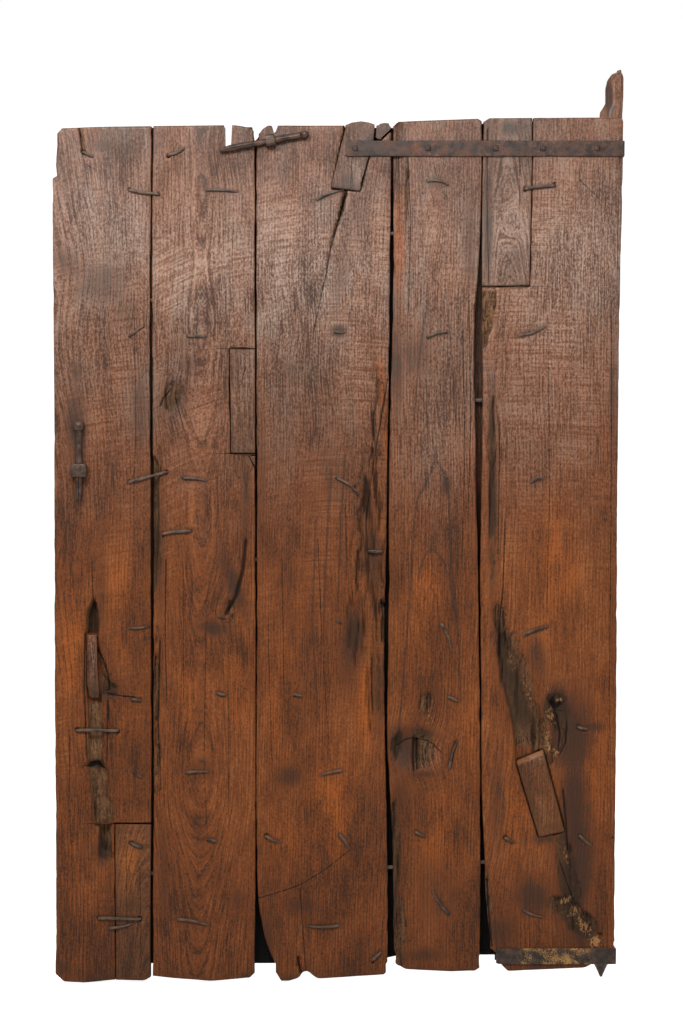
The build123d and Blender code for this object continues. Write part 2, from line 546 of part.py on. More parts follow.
layers = {plank: face_layer(plank) for plank in PLANK_SHARES}
patches = {
    "foot_patch": let_in(layers["closing_plank"], FOOT_PATCH_SHARES),
    "edge_patch": let_in(layers["second_plank"], EDGE_PATCH_SHARES),
    "edge_wedge": let_in(layers["second_plank"], EDGE_WEDGE_SHARES),
    "splayed_patch": slab(outline(SPLAYED_PATCH_SHARES), FRONT, SHOULDER),
    "corner_splinter": slab(outline(CORNER_SPLINTER_SHARES), FRONT, SHOULDER),
    "head_patch": let_in(layers["pivot_plank"], HEAD_PATCH_SHARES),
    "split_filler": slab(outline(SPLIT_FILLER_SHARES), FRONT + FILLER_SINK, FRONT + SPLIT_DEPTH),
}
block_top = Vector(*on_leaf(INLAY_BLOCK_SHARES)[0]), Vector(*on_leaf(INLAY_BLOCK_SHARES)[1])
block_run = Vector(block_top[1].X - block_top[0].X, 0, block_top[1].Y - block_top[0].Y)
block_end = Plane(origin=(block_top[0].X, FRONT, block_top[0].Y), x_dir=(0, 1, 0), z_dir=block_run)
block_bevel = extrude(
    block_end * make_face(Polyline((0, 0), (BLOCK_BEVEL, 0), (0, -BLOCK_BEVEL), close=True)),
    amount=block_run.length)
patches["inlay_block"] = slab(outline(INLAY_BLOCK_SHARES), FRONT, FRONT + BLOCK_DEPTH) - block_bevel

lost = {
    "closing_plank": [cut_through(CORNER_NICK_SHARES), cut_in(HEAD_CHECK_SHARES, CHECK_DEPTH),
                      cut_in(SPLIT_SHARES, SPLIT_DEPTH), cut_in(SPLIT_TIP_SHARES, SPLIT_TIP_DEPTH),
                      pocket(FOOT_PATCH_SHARES, FACE_DEPTH)],
    "second_plank": [cut_through(HEAD_NOTCH_SHARES), cut_through(HEAD_LOBE_SHARES),
                     cut_in(EDGE_CHIP_SHARES, CHIP_DEPTH),
                     pocket(EDGE_PATCH_SHARES, FACE_DEPTH), pocket(EDGE_WEDGE_SHARES, FACE_DEPTH)],
    "middle_plank": [cut_through(HEAD_LOBE_SHARES), cut_through(HEAD_VEE_SHARES),
                     cut_in(WEDGE_SPLIT_SHARES, CHECK_DEPTH), cut_in(SPLINTER_GAP_SHARES, FACE_DEPTH),
                     cut_in(CORNER_LOSS_SHARES, FACE_DEPTH),
                     cut_in(EDGE_BREAK_SHARES, BREAK_DEPTH), cut_in(FOOT_CHECK_SHARES, FACE_DEPTH),
                     pocket(SPLAYED_PATCH_SHARES, FACE_DEPTH), pocket(CORNER_SPLINTER_SHARES, FACE_DEPTH)],
    "fourth_plank": [eye_hollow(), cut_in(EYE_SLIT_SHARES, EYE_SLIT_DEPTH),
                     edge_bevel(WANE_SHARES, (WANE_WIDTH, WANE_END_WIDTH), (WANE_DEPTH, WANE_END_DEPTH), 1)],
    "pivot_plank": [pocket(HEAD_PATCH_SHARES, FACE_DEPTH), cut_in(PATCH_STEP_SHARES, LEDGE_STEP_DEPTH),
                    cut_in(DECAY_CHANNEL_SHARES, CHANNEL_DEPTH), cut_in(WORM_GOUGE_SHARES, GOUGE_DEPTH),
                    pocket(INLAY_BLOCK_SHARES, BLOCK_DEPTH), strap_seat(head_level, HEAD_STRAP_SPAN_SHARES),
                    strap_seat(foot_level, FOOT_STRAP_SPAN_SHARES),
                    edge_bevel(ARRIS_SHARES, (ARRIS_WIDTH, ARRIS_END_WIDTH),
                               (ARRIS_DEPTH, ARRIS_END_DEPTH), -1)],
}

planks = {plank: layers[plank] + back_layer(plank) for plank in PLANK_SHARES}
planks["pivot_plank"] += pintle()
nodes = {plank: carved(planks[plank] - lost[plank], driven) for plank in PLANK_SHARES}
nodes.update({name: carved(patch, driven) for name, patch in patches.items()})
for number, level in enumerate(LEDGE_SHARES, 1):
    nodes[f"ledge_{number}"] = carved(ledge(level), driven)
    nodes[f"ledge_nails_{number}"] = solids_of(ledge_nails[number - 1])
nodes.update({
    "joint_staples": solids_of(staples),
    "short_nails": solids_of(short_nails),
    "edge_dowels": solids_of(dowels),
    "head_strap": head_strap,
    "head_strap_nails": solids_of(head_strap_nails),
    "foot_strap": foot_strap,
    "foot_strap_nails": solids_of(foot_strap_nails),
    "lower_pivot": pivot,
    "latch_pin": latch_pin,
    "latch_eye": latch_eye,
    "head_pin": head_pin,
    "head_eye": head_eye,
})

os.makedirs("parts", exist_ok=True)
for name, shape in nodes.items():
    export_step(shape, f"parts/{name}.step")
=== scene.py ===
import math

import bpy
import numpy as np
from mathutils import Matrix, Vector
from mathutils.bvhtree import BVHTree


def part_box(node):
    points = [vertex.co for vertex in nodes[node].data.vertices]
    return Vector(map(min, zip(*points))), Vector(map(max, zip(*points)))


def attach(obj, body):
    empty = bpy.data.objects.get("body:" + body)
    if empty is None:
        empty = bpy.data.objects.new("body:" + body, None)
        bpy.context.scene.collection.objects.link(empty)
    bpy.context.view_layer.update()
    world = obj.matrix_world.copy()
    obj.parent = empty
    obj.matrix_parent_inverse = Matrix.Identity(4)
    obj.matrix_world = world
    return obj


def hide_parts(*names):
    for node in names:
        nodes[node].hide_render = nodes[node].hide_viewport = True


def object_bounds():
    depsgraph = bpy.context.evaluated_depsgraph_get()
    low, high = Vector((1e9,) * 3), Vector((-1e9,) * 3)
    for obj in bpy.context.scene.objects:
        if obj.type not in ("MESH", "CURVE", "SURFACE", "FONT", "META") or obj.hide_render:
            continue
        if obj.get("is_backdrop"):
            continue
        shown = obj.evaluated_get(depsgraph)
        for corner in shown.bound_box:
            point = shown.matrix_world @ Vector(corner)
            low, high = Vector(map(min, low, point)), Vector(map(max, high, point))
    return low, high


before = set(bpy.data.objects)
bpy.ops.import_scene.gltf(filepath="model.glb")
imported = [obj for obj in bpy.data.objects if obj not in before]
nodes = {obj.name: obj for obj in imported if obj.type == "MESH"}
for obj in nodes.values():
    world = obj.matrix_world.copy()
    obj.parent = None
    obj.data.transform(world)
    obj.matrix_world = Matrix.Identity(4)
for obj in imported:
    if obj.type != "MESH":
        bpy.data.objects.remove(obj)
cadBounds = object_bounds()
print("frame loaded:", len(nodes), "nodes")

# The face of the leaf, in metres: planes across it, and the drawing unit in which places on it are given.
leaf = dict(front=-0.026, shoulder=0.001, back=0.026, ledgeBack=0.060, unit=0.0022, pivotAcross=602.0, footDown=978.8)


def placeX(across):
    return (np.asarray(across, float) - leaf["pivotAcross"]) * leaf["unit"]


def placeZ(down):
    return (leaf["footDown"] - np.asarray(down, float)) * leaf["unit"]


# Numpy fields

noiseTable = np.random.default_rng(11).random((256, 256))


def ease(a):
    a = np.clip(a, 0.0, 1.0)
    return a * a * (3.0 - 2.0 * a)


def noise(a, b):
    # Corner values of a unit lattice, blended across each cell by a cubic ease: from 0 to 1.
    a, b = np.broadcast_arrays(np.asarray(a, float), np.asarray(b, float))
    i, j = np.floor(a).astype(int), np.floor(b).astype(int)
    fa, fb = ease(a - i), ease(b - j)
    corner = lambda p, q: noiseTable[(i + p) & 255, (j + q) & 255]
    low = corner(0, 0) * (1 - fa) + corner(1, 0) * fa
    high = corner(0, 1) * (1 - fa) + corner(1, 1) * fa
    return low * (1 - fb) + high * fb


def rough(a, b, octaves=4):
    # Noise of several sizes, each half as wide and half as strong as the one before: about -1 to 1.
    return sum((noise(a * 2 ** k + 17.3 * k, b * 2 ** k + 5.1 * k) - 0.5) / 2 ** k for k in range(octaves))


def blobs(x, z, spots):
    # Soft leaning ovals: a bell of the distance from a centre, in shares of two radii, strongest one wins.
    field = np.zeros(np.shape(x))
    for across, down, wide, tall, lean, strength in spots:
        dx, dz = x - placeX(across), z - placeZ(down)
        c, s = math.cos(math.radians(lean)), math.sin(math.radians(lean))
        p, q = (dx * c + dz * s) / (wide * leaf["unit"]), (-dx * s + dz * c) / (tall * leaf["unit"])
        field = np.maximum(field, strength * np.exp(-(p * p + q * q)))
    return field


def scores(x, z, lines):
    # Signed distance to the nearest of some drawn lines, and that line's half width there.
    near, half = np.full(np.shape(x), 0.02), np.zeros(np.shape(x))
    for points, first, last in lines:
        px, pz = placeX([p[0] for p in points]), placeZ([p[1] for p in points])
        run = np.concatenate([[0.0], np.cumsum(np.hypot(np.diff(px), np.diff(pz)))])
        for k in range(len(points) - 1):
            ex, ez = px[k + 1] - px[k], pz[k + 1] - pz[k]
            length = math.hypot(ex, ez)
            t = np.clip(((x - px[k]) * ex + (z - pz[k]) * ez) / length ** 2, 0.0, 1.0)
            side = ((x - px[k]) * ez - (z - pz[k]) * ex) / length
            away = np.hypot(x - px[k] - t * ex, z - pz[k] - t * ez)
            closer = away < np.abs(near)
            near = np.where(closer, np.copysign(np.maximum(away, np.abs(side)), side), near)
            share = (run[k] + t * length) / run[-1]
            half = np.where(closer, (first + (last - first) * share) * 0.5 * leaf["unit"], half)
    return near, half


# Meshes

def meshFrom(name, points, quads, ngons=(), smooth=40.0, fields=None):
    # Vertices, a table of four-sided faces and a few many-sided caps, put into one mesh object.
    mesh = bpy.data.meshes.new(name)
    loops = np.concatenate([np.asarray(quads, np.int32).ravel()] + [np.asarray(g, np.int32) for g in ngons])
    sizes = np.concatenate([np.full(len(quads), 4), [len(g) for g in ngons]]).astype(np.int32)
    starts = np.concatenate([[0], np.cumsum(sizes)[:-1]]).astype(np.int32)
    mesh.vertices.add(len(points))
    mesh.vertices.foreach_set("co", np.asarray(points, np.float32).ravel())
    mesh.loops.add(len(loops))
    mesh.loops.foreach_set("vertex_index", loops)
    mesh.polygons.add(len(sizes))
    mesh.polygons.foreach_set("loop_start", starts)
    mesh.update(calc_edges=True)
    mesh.validate()
    mesh.polygons.foreach_set("use_smooth", np.ones(len(mesh.polygons), bool))
    mesh.set_sharp_from_angle(angle=math.radians(smooth))
    for key, values in (fields or {}).items():
        layer = mesh.attributes.new(key, "FLOAT", "POINT")
        layer.data.foreach_set("value", np.asarray(values, np.float32).ravel())
    piece = bpy.data.objects.new(name, mesh)
    bpy.context.scene.collection.objects.link(piece)
    return piece


def gridQuads(rows, cols, loop=False, flip=False):
    # Faces of a grid of rows and columns. A looped grid joins its last column to its first.
    r, c = np.meshgrid(np.arange(rows - 1), np.arange(cols if loop else cols - 1), indexing="ij")
    n = (c + 1) % cols
    quads = np.stack([r * cols + c, r * cols + n, (r + 1) * cols + n, (r + 1) * cols + c], -1).reshape(-1, 4)
    return quads[:, ::-1] if flip else quads


def slabFrom(points, depth, steps):
    # A grid of points seen from one side, with its border carried back to a plane and closed there.
    rows, cols = points.shape[:2]
    index = np.arange(rows * cols).reshape(rows, cols)
    border = np.concatenate([index[0, :], index[1:, -1], index[-1, -2::-1], index[-2:0:-1, 0]])
    flat = points.reshape(-1, 3)
    edge, count = flat[border], len(border)
    layers = []
    for k in range(1, steps + 1):
        ring = edge.copy()
        ring[:, 1] += (depth - edge[:, 1]) * k / steps
        layers.append(ring)
    allPoints = np.concatenate([flat] + layers)
    ids = np.concatenate([border[None, :], rows * cols + np.arange(steps * count).reshape(steps, count)])
    nextIds = np.roll(ids, -1, 1)
    skirt = np.stack([ids[:-1], ids[1:], nextIds[1:], nextIds[:-1]], -1).reshape(-1, 4)
    flip = depth < points[rows // 2, cols // 2, 1]
    quads = np.concatenate([gridQuads(rows, cols), skirt])
    cap = ids[-1][::-1]
    return allPoints, (quads[:, ::-1] if flip else quads), (cap[::-1] if flip else cap)


def tubeFrom(rings):
    # A row of closed sections joined along their length, with a cap at each end.
    count, size = rings.shape[:2]
    quads = gridQuads(count, size, loop=True)
    last = (count - 1) * size
    return rings.reshape(-1, 3), quads, [np.arange(size)[::-1], last + np.arange(size)]


def outward(points, quads, caps):
    # Turns a closed surface inside out if the volume under its faces comes out below zero.
    a, b, c, d = (points[quads[:, k]] for k in range(4))
    volume = np.einsum("ij,ij->i", a, np.cross(b, c)).sum() + np.einsum("ij,ij->i", a, np.cross(c, d)).sum()
    for cap in caps:
        p = points[np.asarray(cap)]
        volume += np.einsum("ij,ij->i", np.broadcast_to(p[0], p[1:-1].shape), np.cross(p[1:-1], p[2:])).sum()
    if volume < 0:
        return points, quads[:, ::-1], [np.asarray(cap)[::-1] for cap in caps]
    return points, quads, [np.asarray(cap) for cap in caps]


def joined(shells):
    # Several closed surfaces as one list of points, faces and caps.
    points, quads, caps, offset = [], [], [], 0
    for p, q, c in shells:
        p, q, c = outward(p, q, c)
        points.append(p)
        quads.append(q + offset)
        caps += [cap + offset for cap in c]
        offset += len(p)
    return np.concatenate(points), np.concatenate(quads), caps


# Shapes read from the solids

def solidOf(name):
    mesh = nodes[name].data
    mesh.calc_loop_triangles()
    points = np.empty(len(mesh.vertices) * 3)
    mesh.vertices.foreach_get("co", points)
    corners = np.empty(len(mesh.loop_triangles) * 3, np.int32)
    mesh.loop_triangles.foreach_get("vertices", corners)
    return points.reshape(-1, 3), corners.reshape(-1, 3)


def castRows(tree, starts, heading):
    # Where level or upright lines first meet a solid. A line that misses gives nan.
    axis = int(np.argmax(np.abs(heading)))
    hits = [tree.ray_cast(Vector(s), Vector(heading))[0] for s in starts]
    return np.array([hit[axis] if hit else np.nan for hit in hits])


def filled(values):
    # Gaps take their neighbours' values.
    good = np.isfinite(values)
    return np.interp(np.arange(len(values)), np.flatnonzero(good), values[good])


def recessField(points, corners, lo, hi, cell=0.0012):
    # How deep the solid's first surface lies behind the front, drawn triangle by triangle on a fine raster.
    cols, rows = int((hi[0] - lo[0]) / cell) + 2, int((hi[2] - lo[2]) / cell) + 2
    depth = np.full((rows, cols), np.inf)
    tri = points[corners]
    normal = np.cross(tri[:, 1] - tri[:, 0], tri[:, 2] - tri[:, 0])
    for t in tri[(normal[:, 1] < -1e-12) & (tri[:, :, 1].min(1) < leaf["shoulder"] + 1e-4)]:
        x, z = (t[:, 0] - lo[0]) / cell, (t[:, 2] - lo[2]) / cell
        c0, c1, r0, r1 = int(x.min()), int(x.max()) + 2, int(z.min()), int(z.max()) + 2
        gz, gx = np.mgrid[r0:r1, c0:c1]
        area = (x[1] - x[0]) * (z[2] - z[0]) - (x[2] - x[0]) * (z[1] - z[0])
        if abs(area) < 1e-9:
            continue
        w1 = ((gx - x[0]) * (z[2] - z[0]) - (x[2] - x[0]) * (gz - z[0])) / area
        w2 = ((x[1] - x[0]) * (gz - z[0]) - (gx - x[0]) * (z[1] - z[0])) / area
        inside = (w1 >= -0.02) & (w2 >= -0.02) & (w1 + w2 <= 1.02)
        y = t[0, 1] + w1 * (t[1, 1] - t[0, 1]) + w2 * (t[2, 1] - t[0, 1]) - leaf["front"]
        part = depth[r0:r1, c0:c1]
        inside = inside[:part.shape[0], :part.shape[1]]
        part[inside] = np.minimum(part, y[:part.shape[0], :part.shape[1]])[inside]
    depth[np.isinf(depth)] = 0.0
    for _ in range(2):  # worn rims
        depth[1:-1] = (depth[:-2] + depth[1:-1] + depth[2:]) / 3
        depth[:, 1:-1] = (depth[:, :-2] + depth[:, 1:-1] + depth[:, 2:]) / 3

    def sample(x, z):
        p, q = (x - lo[0]) / cell, (z - lo[2]) / cell
        i, j = np.clip(p.astype(int), 0, cols - 2), np.clip(q.astype(int), 0, rows - 2)
        u, v = np.clip(p - i, 0, 1), np.clip(q - j, 0, 1)
        low = depth[j, i] * (1 - u) + depth[j, i + 1] * u
        high = depth[j + 1, i] * (1 - u) + depth[j + 1, i + 1] * u
        return low * (1 - v) + high * v
    return sample


def spread(count, crowd):
    # Shares from 0 to 1, closer together at both ends.
    s = np.linspace(0.0, 1.0, count)
    return s - crowd * np.sin(2 * np.pi * s) / (2 * np.pi)


# Each nail: where its shank comes out, where its tip goes in, and its bow.
rowNails = [
    [(206.0, 189.9, 238.0, 192.0, 0.02), (316.1, 199.8, 344.0, 189.9, 0.05), (426.9, 180.9, 449.2, 186.0, 0.12)],
    [(129.1, 337.1, 145.1, 325.5, 0.05), (187.0, 335.8, 207.5, 337.1, 0.0), (334.0, 332.0, 345.1, 332.8, 0.0), (426.9, 338.0, 448.0, 332.8, 0.10),
     (518.1, 335.8, 546.9, 325.9, -0.06)],
    [(182.7, 477.9, 208.0, 480.9, 0.03), (336.0, 477.9, 359.4, 496.0, 0.10), (442.9, 474.0, 447.7, 478.8, 0.0), (530.9, 482.2, 544.9, 479.2, 0.16)],
    [(129.1, 628.1, 149.9, 626.0, -0.04), (218.0, 616.1, 226.0, 619.1, 0.0), (336.0, 620.8, 342.0, 623.8, 0.0), (441.5, 623.8, 450.9, 647.9, 0.06),
     (522.7, 635.0, 548.9, 626.0, 0.03)],
    [(131.9, 770.2, 141.9, 778.0, 0.0), (186.1, 772.4, 210.0, 771.9, 0.03), (342.0, 770.2, 320.0, 775.4, -0.03), (449.4, 768.1, 457.1, 740.9, 0.05)],
    [(108.0, 928.2, 133.1, 923.5, -0.03), (178.1, 919.2, 208.0, 925.2, 0.05), (339.1, 925.2, 306.9, 926.0, 0.04), (448.9, 914.0, 432.9, 891.2, 0.06),
     (523.0, 910.1, 543.5, 917.0, -0.05)],
]
stapleEnds = [(129.1, 189.9, 159.0, 195.1), (129.1, 482.2, 167.0, 471.9), (525.0, 189.0, 554.9, 185.2), (98.9, 917.9, 139.9, 918.7),
              (76.9, 730.2, 118.0, 730.2), (163.0, 533.9, 190.9, 530.0)]
shortEnds = [(168.4, 155.0, 184.7, 148.6), (82.9, 152.0, 92.9, 157.2), (131.1, 843.0, 142.5, 847.3), (208.0, 839.1, 216.9, 841.2),
             (265.9, 836.1, 279.0, 842.1), (340.0, 835.2, 348.8, 847.3), (416.1, 832.2, 424.9, 836.1), (505.0, 837.8, 513.0, 842.1),
             (580.0, 836.1, 591.9, 845.5), (372.2, 959.6, 381.0, 951.9), (131.9, 699.2, 141.1, 700.9), (218.0, 693.1, 226.0, 694.9),
             (294.1, 694.0, 302.1, 696.2), (448.9, 697.0, 458.0, 700.9), (578.0, 727.2, 587.9, 728.9), (369.1, 551.1, 382.5, 551.1)]
ironMarks = [([(ax, ay), (bx, by)], 1.0, 1.0) for row in rowNails for ax, ay, bx, by, bow in row]
ironMarks += [([ends[:2], ends[2:]], 1.0, 1.0) for ends in stapleEnds + shortEnds]


# Boards: every plank and every let-in piece of wood

# In each board, pales are spots where the painted sheen is stronger.
boards = dict(
    closing_plank=dict(
        cols=112, rows=480, top=None, warp=0.0016, arris=0.0030, seed=3, tone=-0.06, slot="plank_wood", openSide="left",
        rings=dict(across=30, depth=0.13, rise=0.03, level=700, pitch=0.0052),
        knots=[(84, 262, 22, 46, -1.8), (100, 690, 16, 70, 2.4), (120, 330, 22, 22, 1.2)],
        saw=dict(slope=-0.16, bend=0.10, pitch=0.0064, low=900, high=250, strength=0.75),
        lines=[([(79.4, 129), (82, 150), (85.5, 168), (88, 185)], 0.9, 0.3), ([(85, 164), (92, 168)], 0.8, 0.4),
               ([(97, 649), (103, 660), (108, 674), (109, 690)], 2.4, 1.2), ([(92, 560), (93, 598)], 0.2, 0.9),
               ([(109, 694), (122, 696), (134, 697)], 1.8, 0.6), ([(90, 765), (97, 763), (103, 767)], 5.0, 3.0),
               ([(85, 634), (84, 690), (87, 760)], 1.2, 0.8), ([(108, 700), (107, 760)], 0.9, 0.6), ([(70, 735), (69, 800), (72, 860)], 0.5, 0.3),
               ([(134, 300), (136, 420), (133, 520)], 0.35, 0.3)],
        stains=[(74, 425, 13, 42, 0, 0.85), (76, 372, 9, 14, 0, 0.6), (108, 690, 20, 12, 10, 0.9), (103, 850, 8, 16, 0, 0.8), (97, 765, 9, 6, 0, 1.0),
                (140, 420, 9, 60, 0, 0.45), (66, 262, 14, 26, 30, 0.55), (102, 284, 34, 26, 0, 0.45), (125, 315, 22, 22, 0, 0.5),
                (146, 940, 7, 40, 0, 0.6), (100, 600, 8, 60, 0, 0.5), (60, 968, 12, 9, 0, 0.5), (106, 146, 30, 9, -6, 0.55),
                (140, 780, 8, 60, 0, 0.35)],
        warms=[(72, 640, 16, 70, 0, 0.8), (120, 600, 16, 70, 0, 0.5), (70, 860, 14, 60, 0, 0.6), (125, 745, 14, 40, 0, 0.6)],
        pales=[(92, 200, 40, 38, 8, 0.7), (134, 210, 14, 38, 0, 0.6)], tans=[],
        rotTone=0.22,
        torn=[(103, 682, 8, 16, 0, 0.9), (99, 800, 8, 34, 0, 1.0), (104, 838, 6, 16, 0, 0.9)]),
    second_plank=dict(
        cols=116, rows=480, top=None, warp=0.0016, arris=0.0030, seed=9, tone=-0.01, slot="plank_wood",
        rings=dict(across=200, depth=0.06, rise=-0.022, level=300, pitch=0.0056),
        knots=[(226, 146, 26, 34, 2.6), (170, 398, 14, 28, -2.2), (219, 612, 14, 26, 1.8)],
        saw=dict(slope=-0.34, bend=0.30, pitch=0.0066, low=760, high=230, strength=1.0),
        lines=[([(246, 540), (243, 570), (236, 596), (226, 614)], 2.2, 3.0), ([(160, 640), (158, 720), (161, 790)], 1.4, 0.5),
               ([(166, 560), (165, 640), (167, 700)], 0.8, 0.4), ([(183, 560), (184, 700)], 0.35, 0.3),
               ([(206, 640), (204, 760), (207, 830)], 0.4, 0.3), ([(228, 690), (229, 820)], 0.4, 0.3), ([(176, 400), (184, 430)], 0.9, 0.4),
               ([(161, 405), (163, 398), (170, 390)], 1.6, 0.8)],
        stains=[(234, 585, 9, 44, 22, 0.95), (214, 628, 22, 10, -6, 1.0), (176, 396, 16, 26, -30, 0.75), (190, 365, 14, 14, 0, 0.7),
                (216, 166, 26, 10, 0, 0.5), (160, 560, 7, 120, 0, 0.6), (246, 500, 7, 60, 0, 0.6), (238, 900, 12, 14, 0, 0.7),
                (196, 770, 22, 14, 20, 0.5), (180, 340, 26, 18, 0, 0.4), (163, 880, 8, 60, 0, 0.5)],
        warms=[(238, 660, 12, 80, 0, 0.9), (190, 610, 22, 60, 0, 0.7), (200, 520, 30, 50, 0, 0.5), (186, 700, 14, 60, 0, 0.6)],
        pales=[(200, 272, 60, 76, 0, 0.6)], tans=[],
        torn=[(172, 396, 11, 20, -20, 0.9), (157, 700, 5, 110, 0, 0.8), (157, 520, 5, 80, 0, 0.9), (226, 606, 8, 20, 20, 0.7),
              (246, 470, 5, 40, 0, 0.7)]),
    middle_plank=dict(
        cols=126, rows=480, top=None, warp=0.0022, arris=0.0032, seed=14, tone=-0.03, slot="plank_wood",
        rings=dict(across=436, depth=0.10, rise=0.03, level=540, pitch=0.0052),
        knots=[(347, 624, 18, 50, 2.0), (328, 420, 40, 44, 2.4), (300, 330, 50, 34, 1.8), (380, 150, 22, 50, 1.4)],
        saw=dict(slope=-0.05, bend=0.16, pitch=0.0060, low=780, high=210, strength=1.0),
        lines=[([(346, 193), (340, 215), (331, 246), (326, 275), (320, 302), (314, 330)], 1.9, 0.4),
               ([(388, 378), (381, 420), (374, 460), (366, 520)], 0.9, 0.5), ([(345, 455), (341, 520), (338, 600)], -1.6, -1.0),
               ([(331, 470), (326, 560), (322, 660)], -1.4, -1.0), ([(316, 520), (312, 620), (318, 720)], -1.2, -0.8),
               ([(256, 899), (280, 892), (300, 885), (326, 869), (350, 850)], 0.7, 0.5), ([(300, 890), (303, 930), (306, 975)], 0.5, 0.7),
               ([(298, 958), (300, 970), (303, 978)], 2.2, 1.6), ([(318, 540), (322, 640), (330, 760)], 0.4, 0.3),
               ([(282, 560), (284, 700)], 0.4, 0.3), ([(345, 500), (347, 575)], 0.5, 0.3), ([(268, 620), (272, 760)], 0.35, 0.3)],
        stains=[(352, 640, 15, 42, -8, 1.0), (372, 540, 9, 90, 3, 0.6), (290, 776, 18, 12, 10, 0.7), (300, 905, 22, 10, 0, 0.6),
                (339, 331, 9, 8, 0, 0.9), (342, 262, 10, 60, -8, 0.5), (265, 950, 10, 50, 0, 0.7), (330, 470, 30, 60, 0, 0.35),
                (262, 480, 6, 120, 0, 0.5), (300, 372, 30, 18, 0, 0.4), (380, 690, 9, 60, 0, 0.6), (358, 200, 12, 60, 0, 0.4)],
        warms=[(384, 410, 6, 56, 4, 1.4), (376, 500, 8, 60, 4, 0.9), (362, 600, 11, 60, 4, 1.0), (330, 820, 36, 70, 0, 0.9),
               (280, 690, 20, 80, 0, 0.6), (366, 700, 14, 60, 0, 0.7), (290, 840, 22, 50, 0, 0.6)],
        pales=[(300, 262, 70, 85, 0, 0.95), (350, 290, 40, 90, 0, 0.6)], tans=[],
        tornRot=0.25,
        torn=[(380, 420, 9, 60, 4, 1.2), (373, 500, 13, 60, 4, 1.3), (368, 570, 17, 60, 4, 1.3), (362, 630, 17, 44, 0, 1.2),
              (374, 690, 11, 60, 0, 0.9)]),
    fourth_plank=dict(
        cols=112, rows=480, top=None, warp=0.0018, arris=0.0036, seed=21, tone=-0.04, slot="plank_wood",
        rings=dict(across=530, depth=0.06, rise=0.02, level=490, pitch=0.0058),
        knots=[(416, 752, 30, 30, -6.0), (437, 205, 13, 34, 3.4), (436, 470, 12, 60, 1.6)],
        saw=dict(slope=0.02, bend=0.05, pitch=0.0070, low=420, high=200, strength=0.45),
        lines=[([(436, 446), (435, 460), (428, 480), (417, 500), (413, 530), (411, 580), (405, 660), (398, 740)], -1.6, -1.2),
               ([(436, 460), (445, 474), (449, 500), (451, 560), (457, 610), (461, 700)], -1.8, -1.0),
               ([(418, 580), (422, 562), (428, 551), (434, 549), (443, 560), (450, 580), (456, 620)], -1.2, -0.9),
               ([(424, 600), (430, 586), (437, 598), (441, 640)], -0.9, -0.6), ([(414, 420), (419, 360), (428, 300)], -1.0, -0.8),
               ([(456, 420), (452, 360), (446, 290)], -1.0, -0.8), ([(407, 150), (411, 220), (408, 320)], 0.8, 0.5),
               ([(398, 745), (405, 740), (413, 738), (425, 740), (433, 744), (441, 752)], 1.0, 0.8), ([(456, 742), (452, 756), (449, 768)], 1.4, 0.8),
               ([(469, 300), (471, 420), (468, 520)], 0.6, 0.4), ([(463, 330), (465, 450), (462, 560)], 0.5, 0.3),
               ([(414, 738), (413, 755), (414, 771)], 2.2, 1.4)],
        stains=[(396, 360, 9, 60, 0, 0.7), (415, 352, 22, 30, 0, 0.55), (446, 486, 7, 12, 0, 0.9), (404, 748, 20, 24, 0, 1.0),
                (425, 733, 16, 7, -14, 0.8), (424, 774, 18, 5, 0, 0.8), (400, 800, 16, 30, 0, 0.6), (430, 690, 14, 14, 0, 0.5),
                (455, 895, 12, 16, 0, 0.5), (396, 860, 9, 90, 0, 0.65), (440, 183, 12, 10, 0, 0.6), (425, 955, 26, 9, 0, 0.7),
                (438, 890, 30, 60, 0, 0.36), (470, 240, 8, 70, 0, 0.45), (440, 632, 7, 16, 0, 0.6), (478, 560, 6, 60, 0, 0.5)],
        warms=[(399, 245, 6, 105, 0, 0.95), (430, 620, 30, 90, 0, 0.7), (440, 840, 26, 60, 0, 0.8), (470, 740, 12, 60, 0, 0.6)],
        pales=[(440, 220, 36, 70, 0, 0.2), (440, 440, 28, 70, 0, 0.5), (427, 756, 12, 13, 0, 0.6), (404, 756, 12, 12, 0, 0.5)],
        tans=[(429, 716, 6, 12, 12, 0.5), (432, 762, 8, 6, 0, 0.30)],
        sound=[(380, 412)],
        torn=[(407, 190, 3, 30, 0, 0.8), (395, 850, 7, 60, 0, 1.1), (397, 930, 9, 50, 0, 1.1), (396, 748, 9, 16, 0, 0.9), (430, 700, 12, 16, 0, 0.8),
              (478, 330, 4, 110, 0, 0.8)]),
    pivot_plank=dict(
        cols=130, rows=480, top=1.8965, headCast=-0.0235, warp=0.0022, arris=0.0034, seed=30, tone=0.03, slot="plank_wood", openSide="right",
        rings=dict(across=470, depth=0.10, rise=-0.03, level=560, pitch=0.0058),
        knots=[(556, 708, 18, 24, 2.4), (545, 730, 30, 70, -1.8), (575, 905, 24, 50, 1.6)],
        saw=dict(slope=0.03, bend=0.05, pitch=0.0062, low=640, high=190, strength=0.9),
        lines=[([(560, 862), (566, 880), (574, 900)], 1.0, 0.8), ([(557, 716), (560, 735), (558, 750)], 2.2, 1.0),
               ([(567, 722), (566, 742), (560, 754)], 1.4, 0.8), ([(563, 790), (566, 820), (568, 850)], 1.4, 0.8),
               ([(612, 838), (616, 836)], 1.0, 1.0), ([(612, 300), (611, 520), (609, 760)], 0.45, 0.3),
               ([(548, 330), (550, 480), (547, 590)], 0.35, 0.3), ([(487, 880), (490, 930), (492, 946)], 1.6, 1.0),
               ([(500, 420), (498, 560)], 0.8, 0.5), ([(580, 180), (590, 190), (604, 203)], 0.6, 0.3),
               ([(535, 222), (560, 216), (600, 222)], -0.7, -0.4), ([(505, 520), (503, 590), (499, 630)], 0.6, 0.8),
               ([(552, 703), (556, 707), (560, 704)], 5.0, 3.6)],
